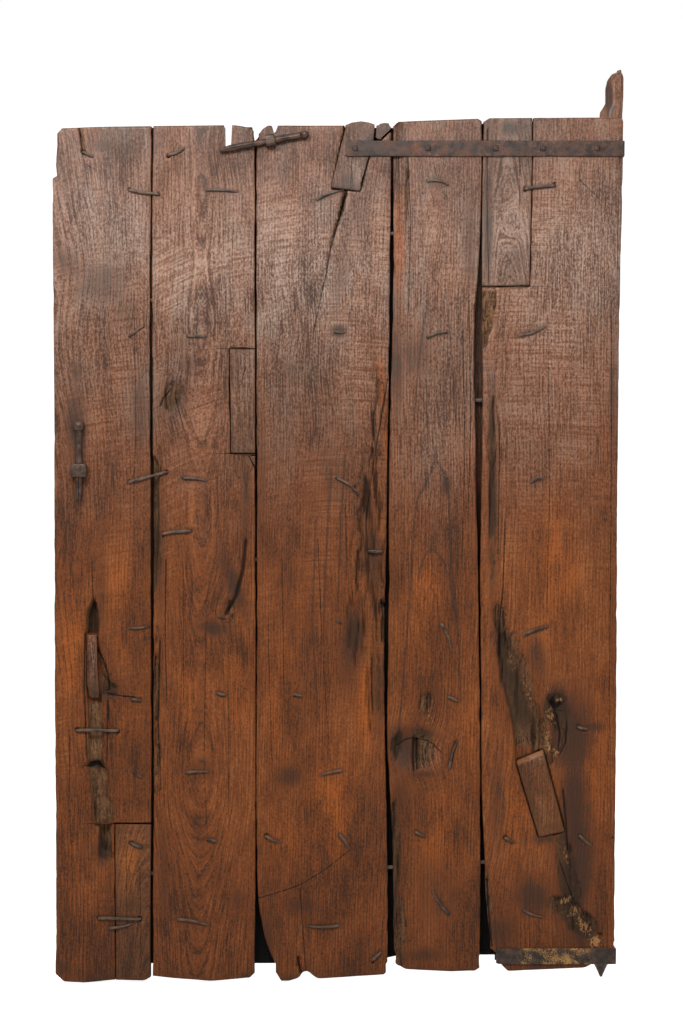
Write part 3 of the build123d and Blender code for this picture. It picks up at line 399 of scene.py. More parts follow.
        stains=[(608, 92, 5.5, 22, 6, 1.4), (574, 735, 26, 44, 0, 1.1), (592, 727, 16, 8, 8, 1.0), (573, 815, 19, 66, -4, 1.15),
                (557, 705, 18, 20, 0, 1.1), (536, 660, 12, 30, 14, 0.7), (515, 690, 20, 54, 14, 0.9), (577, 880, 20, 48, -8, 1.2),
                (533, 895, 22, 22, 0, 0.9), (492, 480, 6, 120, 0, 0.85), (545, 838, 14, 8, 0, 0.9), (584, 930, 22, 24, -20, 1.0),
                (613, 400, 5, 90, 0, 0.6), (500, 930, 18, 26, 0, 0.8), (613, 620, 5, 60, 0, 0.5), (500, 640, 10, 40, 8, 0.9),
                (498, 800, 10, 60, 0, 0.55)],
        warms=[(555, 560, 30, 90, 0, 0.75), (596, 770, 14, 110, 0, 0.8), (515, 800, 18, 70, 0, 0.7), (588, 880, 16, 40, 0, 0.6),
               (604, 450, 12, 90, 0, 0.5)],
        pales=[(575, 235, 60, 90, 0, 1.1), (560, 330, 50, 60, 0, 0.75), (545, 420, 50, 70, 0, 0.45)],
        tans=[(551, 716, 5, 10, 12, 1.0), (548, 742, 4, 18, 8, 0.9), (556, 752, 5, 6, 0, 0.8), (560, 700, 5, 3, 0, 0.9), (546, 690, 4, 6, 20, 0.6),
              (527, 690, 5, 26, 16, 0.55), (566, 900, 9, 4, 20, 0.9), (574, 912, 8, 6, 40, 0.9), (584, 926, 7, 12, 34, 1.0),
              (595, 942, 8, 8, 30, 1.0), (566, 855, 3, 14, 14, 0.7), (512, 660, 5, 16, 10, 0.5)],
        sound=[(596, 640)],
        torn=[(500, 618, 8, 22, 8, 0.9), (507, 648, 13, 26, 10, 1.2), (517, 685, 17, 30, 14, 1.3), (530, 722, 18, 28, 16, 1.3),
              (543, 745, 14, 24, 10, 1.2), (555, 712, 17, 20, 0, 1.2), (563, 850, 10, 34, 14, 1.1), (572, 892, 11, 26, 18, 1.2),
              (557, 905, 13, 9, -20, 1.1), (580, 922, 13, 16, 40, 1.2), (492, 470, 5, 110, 0, 0.8), (487, 900, 6, 44, 0, 0.9),
              (486, 330, 5, 30, 0, 0.8)]),
    foot_patch=dict(
        cols=40, rows=110, top=None, warp=0.0, arris=0.0016, seed=41, tone=-0.03, slot="patch_wood",
        rings=dict(across=150, depth=0.06, rise=0.05, level=930, pitch=0.0050), knots=[],
        saw=dict(slope=0.0, bend=0.0, pitch=0.007, low=990, high=820, strength=0.2),
        lines=[([(126, 840), (127, 930)], 0.35, 0.3), ([(140, 870), (141, 960)], 0.35, 0.3)],
        stains=[(132, 905, 14, 8, 0, 0.5), (148, 960, 7, 20, 0, 0.6), (120, 830, 10, 5, 0, 0.4)], warms=[(130, 865, 12, 40, 0, 0.8)], pales=[], tans=[]),
    edge_patch=dict(
        cols=34, rows=90, top=None, warp=0.0, arris=0.0016, seed=44, tone=-0.02, slot="patch_wood",
        rings=dict(across=215, depth=0.12, rise=0.02, level=400, pitch=0.0050), knots=[],
        saw=dict(slope=0.0, bend=0.0, pitch=0.007, low=470, high=340, strength=0.2), lines=[([(246, 366), (241, 384)], 0.5, 0.3)],
        stains=[(236, 365, 7, 30, 0, 0.6), (243, 440, 12, 8, 0, 0.4)], warms=[(240, 430, 8, 20, 0, 0.4)], pales=[(245, 380, 10, 30, 0, 0.5)], tans=[]),
    edge_wedge=dict(
        cols=14, rows=20, top=None, warp=0.0, arris=0.001, seed=46, tone=0.0, slot="patch_wood",
        rings=dict(across=230, depth=0.1, rise=0.02, level=460, pitch=0.005), knots=[],
        saw=dict(slope=0.0, bend=0.0, pitch=0.007, low=480, high=440, strength=0.2), lines=[], stains=[(252, 460, 6, 8, 0, 0.6)], warms=[], pales=[], tans=[]),
    splayed_patch=dict(
        cols=40, rows=70, top=None, warp=0.0, arris=0.0016, seed=48, tone=-0.04, slot="patch_wood",
        rings=dict(across=372, depth=0.10, rise=0.02, level=160, pitch=0.0048), knots=[],
        saw=dict(slope=0.0, bend=0.0, pitch=0.007, low=200, high=110, strength=0.2), lines=[([(352, 150), (351, 188)], 0.5, 0.4)],
        stains=[(346, 180, 10, 14, 0, 0.6), (366, 132, 12, 8, 0, 0.5)], warms=[], pales=[(355, 170, 14, 24, 0, 0.5)], tans=[]),
    corner_splinter=dict(
        cols=20, rows=26, top=None, warp=0.0, arris=0.001, seed=50, tone=-0.1, slot="patch_wood",
        rings=dict(across=372, depth=0.10, rise=0.02, level=160, pitch=0.0048), knots=[],
        saw=dict(slope=0.0, bend=0.0, pitch=0.007, low=200, high=110, strength=0.2), lines=[], stains=[(384, 132, 8, 8, 0, 0.6)], warms=[], pales=[], tans=[]),
    head_patch=dict(
        cols=56, rows=120, top=None, warp=0.0, arris=0.0018, seed=52, tone=-0.03, slot="patch_wood",
        rings=dict(across=507, depth=0.035, rise=0.05, level=300, pitch=0.0052), knots=[(511, 222, 9, 18, 2.2)],
        saw=dict(slope=0.1, bend=0.0, pitch=0.007, low=300, high=110, strength=0.35),
        lines=[([(488, 130), (487, 200), (489, 283)], 0.8, 0.5), ([(520, 160), (519, 230)], 0.4, 0.3)],
        stains=[(488, 200, 6, 90, 0, 0.7), (512, 128, 20, 8, 0, 0.5), (516, 262, 16, 20, 0, 0.4)], warms=[], pales=[(508, 220, 24, 60, 0, 0.95)], tans=[]),
    inlay_block=dict(
        cols=40, rows=70, top=None, warp=0.0, arris=0.0014, seed=54, tone=-0.06, slot="patch_wood", bevel=0.011, floor=-0.0021,
        rings=dict(across=500, depth=0.12, rise=0.02, level=800, pitch=0.0048), knots=[],
        saw=dict(slope=0.0, bend=0.0, pitch=0.007, low=840, high=740, strength=0.1), lines=[],
        stains=[(530, 800, 6, 40, 16, 0.5), (556, 826, 10, 6, 0, 0.5)], warms=[], pales=[(530, 757, 14, 6, -12, 0.8)], tans=[]),
    split_filler=dict(
        cols=18, rows=50, top=None, warp=0.0, arris=0.0012, seed=56, tone=-0.16, slot="patch_wood", cast=-0.016, face=-0.022, floor=-0.0121,
        rings=dict(across=120, depth=0.12, rise=0.02, level=800, pitch=0.0048), knots=[],
        saw=dict(slope=0.0, bend=0.0, pitch=0.007, low=840, high=740, strength=0.1), lines=[],
        stains=[(92, 690, 10, 12, 0, 0.6)], warms=[], pales=[(91, 650, 8, 40, 0, 0.6)], tans=[]),
)


# Stretches of the joints with less painted shade, where brown wood shows in the gap.
brownJoints = [(478, 345, 24, 80, 0, 0.62), (478, 450, 24, 60, 0, 0.62), (157, 210, 20, 100, 0, 0.5), (157, 520, 20, 200, 0, 0.35), (157, 830, 20, 160, 0, 0.35)]


def woodFields(spec, p, hidden, looks):
    # What the wood shader reads at each point: growth rings, drawn lines, soft patches and hollows.
    x, y, z = p[:, 0], p[:, 1], p[:, 2]
    r, seed = spec["rings"], spec["seed"]
    # Rings are circles round a pith line that lies behind the face and leans away from it along the height.
    pith = placeX(r["across"]) + 0.012 * rough(z * 1.3, seed, 3)
    deep = r["depth"] + r["rise"] * (z - placeZ(r["level"])) + 0.02 * rough(z * 2.1 + 7, seed + 4, 3)
    ring = np.hypot(x - pith, (y - leaf["front"]) + deep) / r["pitch"]
    for across, down, wide, tall, lift in spec["knots"]:
        dx, dz = (x - placeX(across)) / (wide * leaf["unit"]), (z - placeZ(down)) / (tall * leaf["unit"])
        ring = ring + lift * np.exp(-(dx * dx + dz * dz))
    ring = ring + 0.5 * rough(x * 14, z * 5 + seed, 3)
    s = spec["saw"]
    middle = x - x.mean()
    # Saw marks are level lines that lean and bend across the board, one per pitch.
    saw = (z + s["slope"] * middle + s["bend"] * middle * middle * 4 + 0.002 * rough(z * 9, x * 6, 2)) / s["pitch"]
    cover = ease((z - placeZ(s["low"])) / 0.35) * ease((placeZ(s["high"]) - z + 0.15) / 0.2)
    near, half = scores(x, z, spec["lines"])
    front = y < leaf["front"] + 0.024
    stain, warm = blobs(x, z, spec["stains"]), blobs(x, z, spec["warms"])
    if spec["slot"] != "ledge_wood":  # dark tannin round the irons
        around, _ = scores(x, z, ironMarks)
        stain = np.maximum(stain, 0.55 * np.exp(-(around / 0.0080) ** 2))
    # pale: spots where the painted sheen is stronger.
    pale, tan = blobs(x, z, spec["pales"]), blobs(x, z, spec["tans"])
    return dict(ring=ring, saw=saw, sawCover=cover * s["strength"], lineNear=near, lineHalf=np.where(front, half, 0.0),
                stain=np.maximum(stain, looks["dirt"]), warm=warm, pale=pale * front, tan=tan * front, cavity=looks["cavity"],
                hidden=hidden * (1 - blobs(x, z, brownJoints)), rot=looks["rot"], tone=spec["tone"] + looks["lift"])


def faceGrid(name, spec):
    # Shares across and up, carried between the solid's own edges, head and foot, then sunk where the solid is sunk.
    points, corners = solidOf(name)
    lo, hi = points.min(0), points.max(0)
    tree = BVHTree.FromPolygons(points.tolist(), corners.tolist())
    castY, face = spec.get("cast", -0.002), spec.get("face", leaf["front"])
    top = spec["top"] or hi[2]
    tall = top - lo[2]
    margin = min(0.02, tall * 0.06)
    rows = [lo[2] + tall * spread(spec["rows"], 0.45)]
    for patch in patchesIn.get(name, []):
        low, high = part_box(patch)
        rows.append([low.z - 0.0024, low.z - 0.0006, high.z + 0.0006, high.z + 0.0024])
    z0 = np.unique(np.clip(np.concatenate(rows), lo[2], top))
    level = np.clip(z0, lo[2] + margin, top - margin)
    left = filled(castRows(tree, [(lo[0] - 0.05, castY, h) for h in level], (1, 0, 0)))
    right = filled(castRows(tree, [(hi[0] + 0.05, castY, h) for h in level], (-1, 0, 0)))
    if spec["slot"] == "plank_wood":  # chipped and bruised long edges
        left = left + 0.0020 * np.clip(rough(z0 * 26, spec["seed"], 5) + 0.10, 0, 1)
        right = right - 0.0020 * np.clip(rough(z0 * 26 + 40, spec["seed"], 5) + 0.10, 0, 1)
    s = spread(spec["cols"], 0.6)
    inner = np.clip(s, 0.006, 0.994)
    headY = spec.get("headCast", castY)
    heads = castRows(tree, [(left[-1] + (right[-1] - left[-1]) * c, headY, top + 0.002) for c in inner], (0, 0, -1))
    heads = filled(np.where(heads < top - min(0.062, tall * 0.3), np.nan, heads))
    footY = castY if "cast" in spec else -0.014
    feet = filled(castRows(tree, [(left[0] + (right[0] - left[0]) * c, footY, lo[2] - 0.05) for c in inner], (0, 0, 1)))
    for _ in range(3):
        feet[1:-1] = (feet[:-2] + feet[1:-1] + feet[2:]) / 3
    reach = min(0.25, tall * 0.5)
    up, down = ease(1 - (top - z0) / reach), ease(1 - (z0 - lo[2]) / reach)
    z = z0[:, None] + (heads - top)[None, :] * up[:, None] + (feet - lo[2])[None, :] * down[:, None]
    x = left[:, None] + (right - left)[:, None] * s[None, :]
    sample = recessField(points, corners, lo, hi)
    calm = np.ones(x.shape)
    for patch in patchesIn.get(name, []):
        low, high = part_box(patch)
        calm *= 1 - ((x > low.x - 0.01) & (x < high.x + 0.01) & (z > low.z - 0.01) & (z < high.z + 0.01))
    seed = spec["seed"]
    sway = spec["warp"] * calm
    rim = np.minimum(0.005, 0.2 * (right - left))[:, None]
    across = np.clip(x + sway * 2 * rough(x * 90, z * 40 + seed), left[:, None] + rim, right[:, None] - rim)
    sunk = sample(across, z + sway * 5 * rough(x * 60 + seed, z * 30)) - (face - leaf["front"])
    sunk = np.clip(sunk, 0.0, 0.0262)
    rot = ease((sunk - 0.0008) / 0.004) * calm
    for low, high in spec.get("sound", []):  # bevels on healthy wood
        rot = rot * (1 - ((x > placeX(low)) & (x < placeX(high))))
    eroded = np.clip(sunk, 0, 0.010) * rot * (0.30 * rough(x * 150, z * 16 + seed) + 0.22 * rough(x * 420, z * 30, 2))
    edge = np.minimum(x - left[:, None], right[:, None] - x)
    end = np.minimum(z - z[0][None, :], z[-1][None, :] - z)
    worn = spec["arris"] * (1.0 + 0.9 * rough(z * 22, x * 30 + seed))
    rounding = worn * (1 - np.sqrt(1 - np.clip(1 - edge / (worn * 1.2), 0, 1) ** 2))
    rounding = rounding + 0.8 * worn * (1 - np.sqrt(1 - np.clip(1 - end / (worn * 1.2), 0, 1) ** 2))
    near, half = scores(x, z, spec["lines"])
    groove = np.clip(half * 2.2, 0, 0.006) * ease(1 - (np.abs(near) - half) / 0.0022) * (half > 0.0008)
    hewn = 0.0005 + 0.0005 * rough(x * 26, z * 7 + seed, 3) + 0.00035 * rough(x * 260, z * 22 + seed, 2)
    # Torn wood: soft ovals cut to a ragged outline by noise, with splinters along the grain inside it.
    ragged = blobs(x, z, spec.get("torn", [])) + 0.55 * rough(x * 70, z * 24 + seed, 4)
    ragged = ease((ragged - 0.42) / 0.22) * (blobs(x, z, spec.get("torn", [])) > 0.12)
    layer = noise(x * 130 + 2.5 * rough(z * 8, seed, 2), z * 6.5 + seed) * 3.0
    shred = (np.floor(layer) + ease((layer % 1.0 - 0.55) / 0.45)) / 3.0 + 0.35 * rough(x * 330, z * 22 + seed, 3)
    shred = np.clip(shred, 0, 1)
    torn = ragged * (0.0022 + 0.0070 * shred)
    depth = np.clip(sunk + eroded + rounding + groove + np.clip(hewn, 0, None) + np.clip(torn, 0, None), 0.0, 0.0265)
    y = face + depth
    # How deep each hollow is, as a share: the shader paints it as shade, near black in the deepest hollows and torn
    # layers.
    cavity = ease((sunk + groove - 0.005) / 0.027)
    cavity = np.maximum(cavity, ragged * ease((shred - 0.40) / 0.45) * 0.80)
    rot = np.maximum(rot, ragged * spec.get("tornRot", 0.8)) * (face < -0.02)
    openSide = spec.get("openSide", "")
    joint = np.minimum(x - left[:, None] + 9.0 * (openSide == "left"), right[:, None] - x + 9.0 * (openSide == "right"))
    dirt = np.exp(-np.clip(joint, 0, 1) / 0.0050) * (0.35 + 0.9 * rough(z * 22, x * 20 + seed, 4))
    dirt = np.maximum(dirt, 0.75 * np.exp(-(z - z[0][None, :]) / 0.020) * (0.7 + rough(x * 25, z * 20 + seed, 3)))
    return np.stack([x, y, z], -1), dict(cavity=cavity, rot=rot, dirt=np.clip(dirt, 0, 1), lift=rot * spec.get("rotTone", 0.0))


def skirtDark(rows, cols, steps, openSide):
    # How much painted shade darkens the sides of a slab, as in the gaps between planks, in the order of its border:
    # foot, right, head, left. Open sides get none.
    sides = [(cols, 0.25), (rows - 1, 0.0 if openSide == "right" else 1.0), (cols - 1, 0.25), (rows - 2, 0.0 if openSide == "left" else 1.0)]
    return np.tile(np.concatenate([np.full(count, dark) for count, dark in sides]), steps)


def leaningGrid(name, spec):
    # A block that leans: shares across and up between its four outermost corners, with its head cut off at a slope.
    points, _ = solidOf(name)
    leftTop, rightTop = points[points[:, 0].argmin()], points[points[:, 2].argmax()]
    leftFoot, rightFoot = points[points[:, 2].argmin()], points[points[:, 0].argmax()]
    v, u = np.meshgrid(spread(spec["rows"], 0.5), spread(spec["cols"], 0.5), indexing="ij")
    foot = leftFoot[None, None] * (1 - u)[..., None] + rightFoot[None, None] * u[..., None]
    head = leftTop[None, None] * (1 - u)[..., None] + rightTop[None, None] * u[..., None]
    grid = foot * (1 - v)[..., None] + head * v[..., None]
    x, z = grid[..., 0], grid[..., 2]
    wide, tall = np.linalg.norm(rightFoot - leftFoot), np.linalg.norm(leftTop - leftFoot)
    side, low, high = np.minimum(u, 1 - u) * wide, v * tall, (1 - v) * tall
    slope = np.clip(spec["bevel"] - high, 0, None)
    worn = spec["arris"] * (1.2 + 1.2 * rough(z * 40, x * 50))
    drop = worn * (1 - np.sqrt(1 - np.clip(1 - side / worn, 0, 1) ** 2)) + worn * (1 - np.sqrt(1 - np.clip(1 - low / worn, 0, 1) ** 2))
    hewn = 0.0006 + 0.0008 * rough(x * 60, z * 20, 3)
    y = leaf["front"] + np.clip(drop, 0, 0.004) + np.clip(hewn, 0, None) + slope
    dirt = np.exp(-np.minimum(side, low) / 0.004)
    grid = np.stack([x, y, z], -1)
    return grid, dict(cavity=0 * x, rot=0 * x, dirt=dirt * 0.8, lift=0.48 * ease(slope / 0.003))


def backGrid(name):
    # The lapped back of a plank: its edges read behind the shoulder, its face rough from the saw.
    points, corners = solidOf(name)
    lo, hi = points.min(0), points.max(0)
    tree = BVHTree.FromPolygons(points.tolist(), corners.tolist())
    castY, endY = 0.013, 0.0235
    mid = (lo[0] + hi[0]) / 2
    low, high = castRows(tree, [(mid, endY, lo[2] - 0.05)], (0, 0, 1))[0], castRows(tree, [(mid, endY, 2.2)], (0, 0, -1))[0]
    z = low + (high - low) * spread(150, 0.3)
    level = np.clip(z, low + 0.02, high - 0.02)
    left = filled(castRows(tree, [(lo[0] - 0.05, castY, h) for h in level], (1, 0, 0)))
    right = filled(castRows(tree, [(hi[0] + 0.05, castY, h) for h in level], (-1, 0, 0)))
    fine = np.linspace(0.012, 0.988, 260)

    def ends(row, shares, start, heading):
        # The solid's head or foot along the width. Lines that slip past a corner take their neighbours' value.
        found = castRows(tree, [(left[row] + (right[row] - left[row]) * c, endY, start - 0.03 * heading) for c in shares], (0, 0, heading))
        return filled(np.where(np.abs(found - start) > 0.062, np.nan, found))

    steps = np.flatnonzero(np.abs(np.diff(ends(-1, fine, high, -1))) > 0.004)
    s = np.unique(np.concatenate([spread(40, 0.4), fine[steps], fine[steps + 1]]))
    inner = np.clip(s, 0.012, 0.988)
    heads, feet = ends(-1, inner, high, -1), ends(0, inner, low, 1)
    x = left[:, None] + (right - left)[:, None] * s[None, :]
    up, down = ease(1 - (high - z) / 0.25), ease(1 - (z - low) / 0.25)
    z = z[:, None] + (heads - high)[None, :] * up[:, None] + (feet - low)[None, :] * down[:, None]
    hollow = 0.0008 + 0.0008 * rough(x * 20, z * 9, 3) + 0.0005 * np.sin(z / 0.0016 + 3 * rough(x * 4, z * 2, 2))
    y = leaf["back"] - np.clip(hollow, 0, 0.003)
    return np.stack([x, y, z], -1)[:, ::-1]


def pintleRings():
    # The whittled pintle: an eight-sided section with soft corners, fitted between the solid's edges at each height.
    points, corners = solidOf("pivot_plank")
    tree = BVHTree.FromPolygons(points.tolist(), corners.tolist())
    top = points[:, 2].max()
    z = 1.8700 + (top - 1.8700) * spread(52, 0.3)
    level = np.clip(z, 1.900, top - 0.003)
    left = filled(castRows(tree, [(-0.06, 0.0, h) for h in level], (1, 0, 0)))
    right = filled(castRows(tree, [(0.15, 0.0, h) for h in level], (-1, 0, 0)))
    corner = np.array([(0, 0.42), (0.42, 0), (0.80, 0), (1, 0.22), (1, 0.80), (0.82, 1), (0.22, 1), (0, 0.80)])
    turn = np.linspace(0, 8, 48, endpoint=False)
    across = np.interp(turn, np.arange(9), np.append(corner[:, 0], corner[0, 0]))
    deep = np.interp(turn, np.arange(9), np.append(corner[:, 1], corner[0, 1]))
    pull = 1 - 0.25 * ease(1 - (top - z) / 0.012)
    x = left[:, None] + (right - left)[:, None] * (0.5 + (across - 0.5)[None, :] * pull[:, None])
    y = (deep - 0.5)[None, :] * 0.040 * pull[:, None] + 0 * x
    zz = np.broadcast_to(z[:, None], x.shape) + 0.002 * rough(x * 40, y * 60 + z[:, None] * 9, 2) * ease((z - 1.91) / 0.03)[:, None]
    nudge = 1 - 0.05 * np.clip(rough(zz * 60, x * 90, 3) + 0.4, 0, 1)
    x = (left + right)[:, None] / 2 + (x - (left + right)[:, None] / 2) * nudge
    return np.stack([x, y * nudge, np.minimum(zz, top)], -1)


patchesIn = dict(closing_plank=["foot_patch", "split_filler"], second_plank=["edge_patch", "edge_wedge"],
                 middle_plank=["splayed_patch", "corner_splinter"], pivot_plank=["head_patch", "inlay_block"])
woodPieces = {}
for name, spec in boards.items():
    grid, looks = leaningGrid(name, spec) if "bevel" in spec else faceGrid(name, spec)
    size = grid.shape[0] * grid.shape[1]
    floor = spec.get("floor", leaf["shoulder"] - 0.0001)
    p, q, cap = slabFrom(grid, floor, 4)
    shells = [(p, q, [cap])]
    # Painted shade for each point: none on the face, most on the sides in the gaps, a little on the lapped back, and
    # all on the lap's sides next to the shoulder.
    hidden = [np.zeros(size), skirtDark(*grid.shape[:2], 4, spec.get("openSide", ""))]
    if name.endswith("_plank"):
        back = backGrid(name)
        p, q, cap = slabFrom(back, leaf["shoulder"] + 0.0001, 3)
        shells.append((p, q, [cap]))
        sides = skirtDark(*back.shape[:2], 3, dict(left="right", right="left").get(spec.get("openSide", ""), ""))
        hidden += [np.full(len(p) - len(sides), 0.15), np.where(np.arange(len(sides)) < len(sides) * 2 // 3, sides, 1.0)]
    if name == "pivot_plank":
        p, q, caps = tubeFrom(pintleRings())
        shells.append((p, q, caps))
        hidden.append(np.zeros(len(p)))
    points, quads, caps = joined(shells)
    rest = np.zeros(len(points) - size)
    fields = woodFields(spec, points, np.concatenate(hidden), {key: np.concatenate([values.ravel(), rest]) for key, values in looks.items()})
    piece = meshFrom(name + ".look", points, quads, caps, 50.0, fields)
    woodPieces[name] = (piece, spec["slot"])
    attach(piece, "root")
    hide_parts(name)
print("boards made:", len(woodPieces))

# Ledges: hewn bars on the back

ledgeLook = dict(steps=110, sway=0.0012, slot="ledge_wood")
for number in range(1, 7):
    name = f"ledge_{number}"
    lo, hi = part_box(name)
    # A bevelled section carried along the width, with hewn flats that wander a little inward.
    bevel = 0.007
    outline = np.array([(lo.y, lo.z), (hi.y - bevel, lo.z), (hi.y, lo.z + bevel), (hi.y, hi.z - bevel), (hi.y - bevel, hi.z), (lo.y, hi.z)])
    turn = np.linspace(0, 6, 48, endpoint=False)
    closed = np.vstack([outline, outline[:1]])
    sy, sz = np.interp(turn, np.arange(7), closed[:, 0]), np.interp(turn, np.arange(7), closed[:, 1])
    x = lo.x + (hi.x - lo.x) * spread(ledgeLook["steps"], 0.2)
    gx = np.broadcast_to(x[:, None], (len(x), 48))
    wander = ledgeLook["sway"] * (1 + rough(gx * 9 + number * 31, turn[None, :] * 0.9, 4))
    back = (sy > lo.y + 1e-5)[None, :]
    gy = sy[None, :] - wander * back * (sy[None, :] - lo.y) / (hi.y - lo.y)
    gz = sz[None, :] - np.sign(sz - (lo.z + hi.z) / 2)[None, :] * wander * 0.8
    p, q, caps = joined([tubeFrom(np.stack([gx, gy, gz], -1))])
    spec = dict(rings=dict(across=300, depth=0.07, rise=0.0, level=500, pitch=0.005), knots=[], seed=60 + number, tone=-0.05, lines=[], slot=ledgeLook["slot"],
                saw=dict(slope=0.1, bend=0.0, pitch=0.008, low=990, high=100, strength=0.3), stains=[], warms=[], pales=[], tans=[])
    turned = np.stack([(p[:, 2] - lo.z), p[:, 1], p[:, 0] + 2.0 * number], -1)
    plain = np.zeros(len(p))
    fields = woodFields(spec, turned, plain, dict(cavity=plain, rot=plain, dirt=plain, lift=plain))
    piece = meshFrom(name + ".look", p, q, caps, 35.0, fields)
    woodPieces[name] = (piece, ledgeLook["slot"])
    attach(piece, "root")
    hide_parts(name)
print("ledges made")

# Nails and staples: square bars carried along bent paths

nailLook = dict(side=0.0062, steps=40, section=12)


def barAlong(path, widths, thicks, up):
    # A squarish section with soft corners, set square to a path: one half width along its side, one along its normal.
    path = np.asarray(path, float)
    ahead = np.gradient(path, axis=0)
    ahead /= np.linalg.norm(ahead, axis=1)[:, None]
    side = np.cross(ahead, up)
    side /= np.maximum(np.linalg.norm(side, axis=1), 1e-9)[:, None]
    normal = np.cross(side, ahead)
    a = np.linspace(0, 2 * np.pi, nailLook["section"], endpoint=False) + np.pi / nailLook["section"]
    c, s = np.cos(a), np.sin(a)
    c, s = np.sign(c) * np.abs(c) ** 0.55, np.sign(s) * np.abs(s) ** 0.55
    return path[:, None, :] + side[:, None, :] * (widths[:, None] * c)[..., None] + normal[:, None, :] * (thicks[:, None] * s)[..., None]


def smoothPath(points, count):
    # A polyline with its corners eased, walked at even steps.
    points = np.asarray(points, float)
    run = np.concatenate([[0.0], np.cumsum(np.linalg.norm(np.diff(points, axis=0), axis=1))])
    t = np.linspace(0, run[-1], count)
    path = np.stack([np.interp(t, run, points[:, k]) for k in range(3)], -1)
    for _ in range(2):
        path[1:-1] = (path[:-2] + 2 * path[1:-1] + path[2:]) / 4
    return path


def clench(start, tip, bow, deep, number):
    # Up through the wood, over at the face, along it with a slight bow, and back in at the tip.
    ax, az, bx, bz = placeX(start[0]), placeZ(start[1]), placeX(tip[0]), placeZ(tip[1])
    half = nailLook["side"] / 2
    lie = leaf["front"] - half * 0.55
    t = np.linspace(0, 1, 9)[1:-1]
    nx, nz = -(bz - az), bx - ax
    along = np.stack([ax + (bx - ax) * t + nx * bow * np.sin(np.pi * t), np.full(7, lie), az + (bz - az) * t + nz * bow * np.sin(np.pi * t)], -1)
    along[:, 1] -= 0.0012 * np.sin(np.pi * t) * (0.4 + noise(number * 3.7, 1.5))
    rise = [[ax, deep, az], [ax, leaf["front"] + 0.004, az], [ax, lie, az]]
    fall = [[bx, leaf["front"] + 0.0005, bz], [bx, leaf["front"] + 0.006, bz]]
    path = smoothPath(np.vstack([rise, along, fall]), nailLook["steps"])
    share = np.linspace(0, 1, nailLook["steps"])
    lump = 1 + 0.22 * rough(share * 9, number * 2.3, 3)
    width = half * lump * (1 - 0.55 * ease((share - 0.55) / 0.45)) * np.where(path[:, 1] > leaf["front"] + 0.003, 0.92, 1.0)
    spin = Vector((bx - ax, 0, bz - az)).cross(Vector((0, 1, 0))).normalized()
    rings = barAlong(path, width, width * (0.85 + 0.1 * noise(share * 7, number)), np.cross(np.gradient(path, axis=0), np.array(spin)))
    return tubeFrom(rings)


def nailHead(across, down, y, rise, side, heading, number):
    # A hammered square dome: height falls off with the fourth power towards the rim.
    u, v = np.meshgrid(np.linspace(-1, 1, 15), np.linspace(-1, 1, 15), indexing="ij")
    shrink = 1 - 0.16 * (u * u * v * v)
    x = placeX(across) + u * shrink * side / 2 * (1 + 0.08 * rough(v * 2 + number, u, 2))
    z = placeZ(down) + v * shrink * side / 2
    dome = (1 - np.abs(u) ** 3) * (1 - np.abs(v) ** 3)
    height = rise * (0.25 + 0.75 * dome ** 0.6) * (0.9 + 0.2 * rough(u * 2 + number, v * 2, 2))
    grid = np.stack([x, y + heading * height, z], -1)
    if heading > 0:
        grid = grid[:, ::-1]
    p, q, cap = slabFrom(np.transpose(grid, (1, 0, 2)), y, 2)
    return p, q, [cap]


ironPieces = {}


def addIron(name, shells, slot, smooth=40.0, crust=None):
    p, q, caps = joined(shells)
    amount = np.zeros(len(p)) if crust is None else crust(p)
    piece = meshFrom(name + ".look", p, q, caps, smooth, dict(crust=amount))
    ironPieces[name] = (piece, slot)
    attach(piece, "root")
    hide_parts(name)


count = 0
for number, row in enumerate(rowNails, 1):
    shells = []
    for ax, ay, bx, by, bow in row:
        count += 1
        shells.append(clench((ax, ay), (bx, by), bow, leaf["ledgeBack"] + 0.0005, count))
        shells.append(nailHead(ax, ay, leaf["ledgeBack"], 0.0048, 0.0168, 1, count))
    addIron(f"ledge_nails_{number}", shells, "nail_iron")


def stapleShell(ax, ay, bx, by, number):
    # Both legs in the wood and a bar over the face with a slight sag.
    a, b = np.array([placeX(ax), 0, placeZ(ay)]), np.array([placeX(bx), 0, placeZ(by)])
    half = nailLook["side"] / 2
    lie = leaf["front"] - half
    t = np.linspace(0, 1, 9)[:, None]
    bend = 0.06 * (noise(number * 5.1, 0.5) - 0.5) * 2
    side = np.array([-(b - a)[2], 0, (b - a)[0]])
    bar = a + (b - a) * t + side * bend * np.sin(np.pi * 1.6 * t)
    bar[:, 1] = lie
    deep = leaf["front"] + 0.022
    legs = np.array([[a[0], deep, a[2]], [a[0], leaf["front"] + 0.003, a[2]]]), np.array([[b[0], leaf["front"] + 0.003, b[2]], [b[0], deep, b[2]]])
    path = smoothPath(np.vstack([legs[0], bar, legs[1]]), nailLook["steps"])
    share = np.linspace(0, 1, nailLook["steps"])
    width = half * (1 + 0.2 * rough(share * 8, number * 3.1, 3)) * (1 - 0.5 * ease((np.abs(share - 0.5) - 0.38) / 0.12))
    spin = np.cross(b - a, [0, 1, 0]) / np.linalg.norm(b - a)
    return tubeFrom(barAlong(path, width, width * 0.95, np.cross(np.gradient(path, axis=0), spin)))


addIron("joint_staples", [stapleShell(*ends, number) for number, ends in enumerate(stapleEnds)], "nail_iron")
addIron("short_nails", [clench(e[:2], e[2:], 0.12 * (noise(k * 1.9, 3.3) - 0.5), leaf["front"] + 0.018, 70 + k) for k, e in enumerate(shortEnds)], "nail_iron")

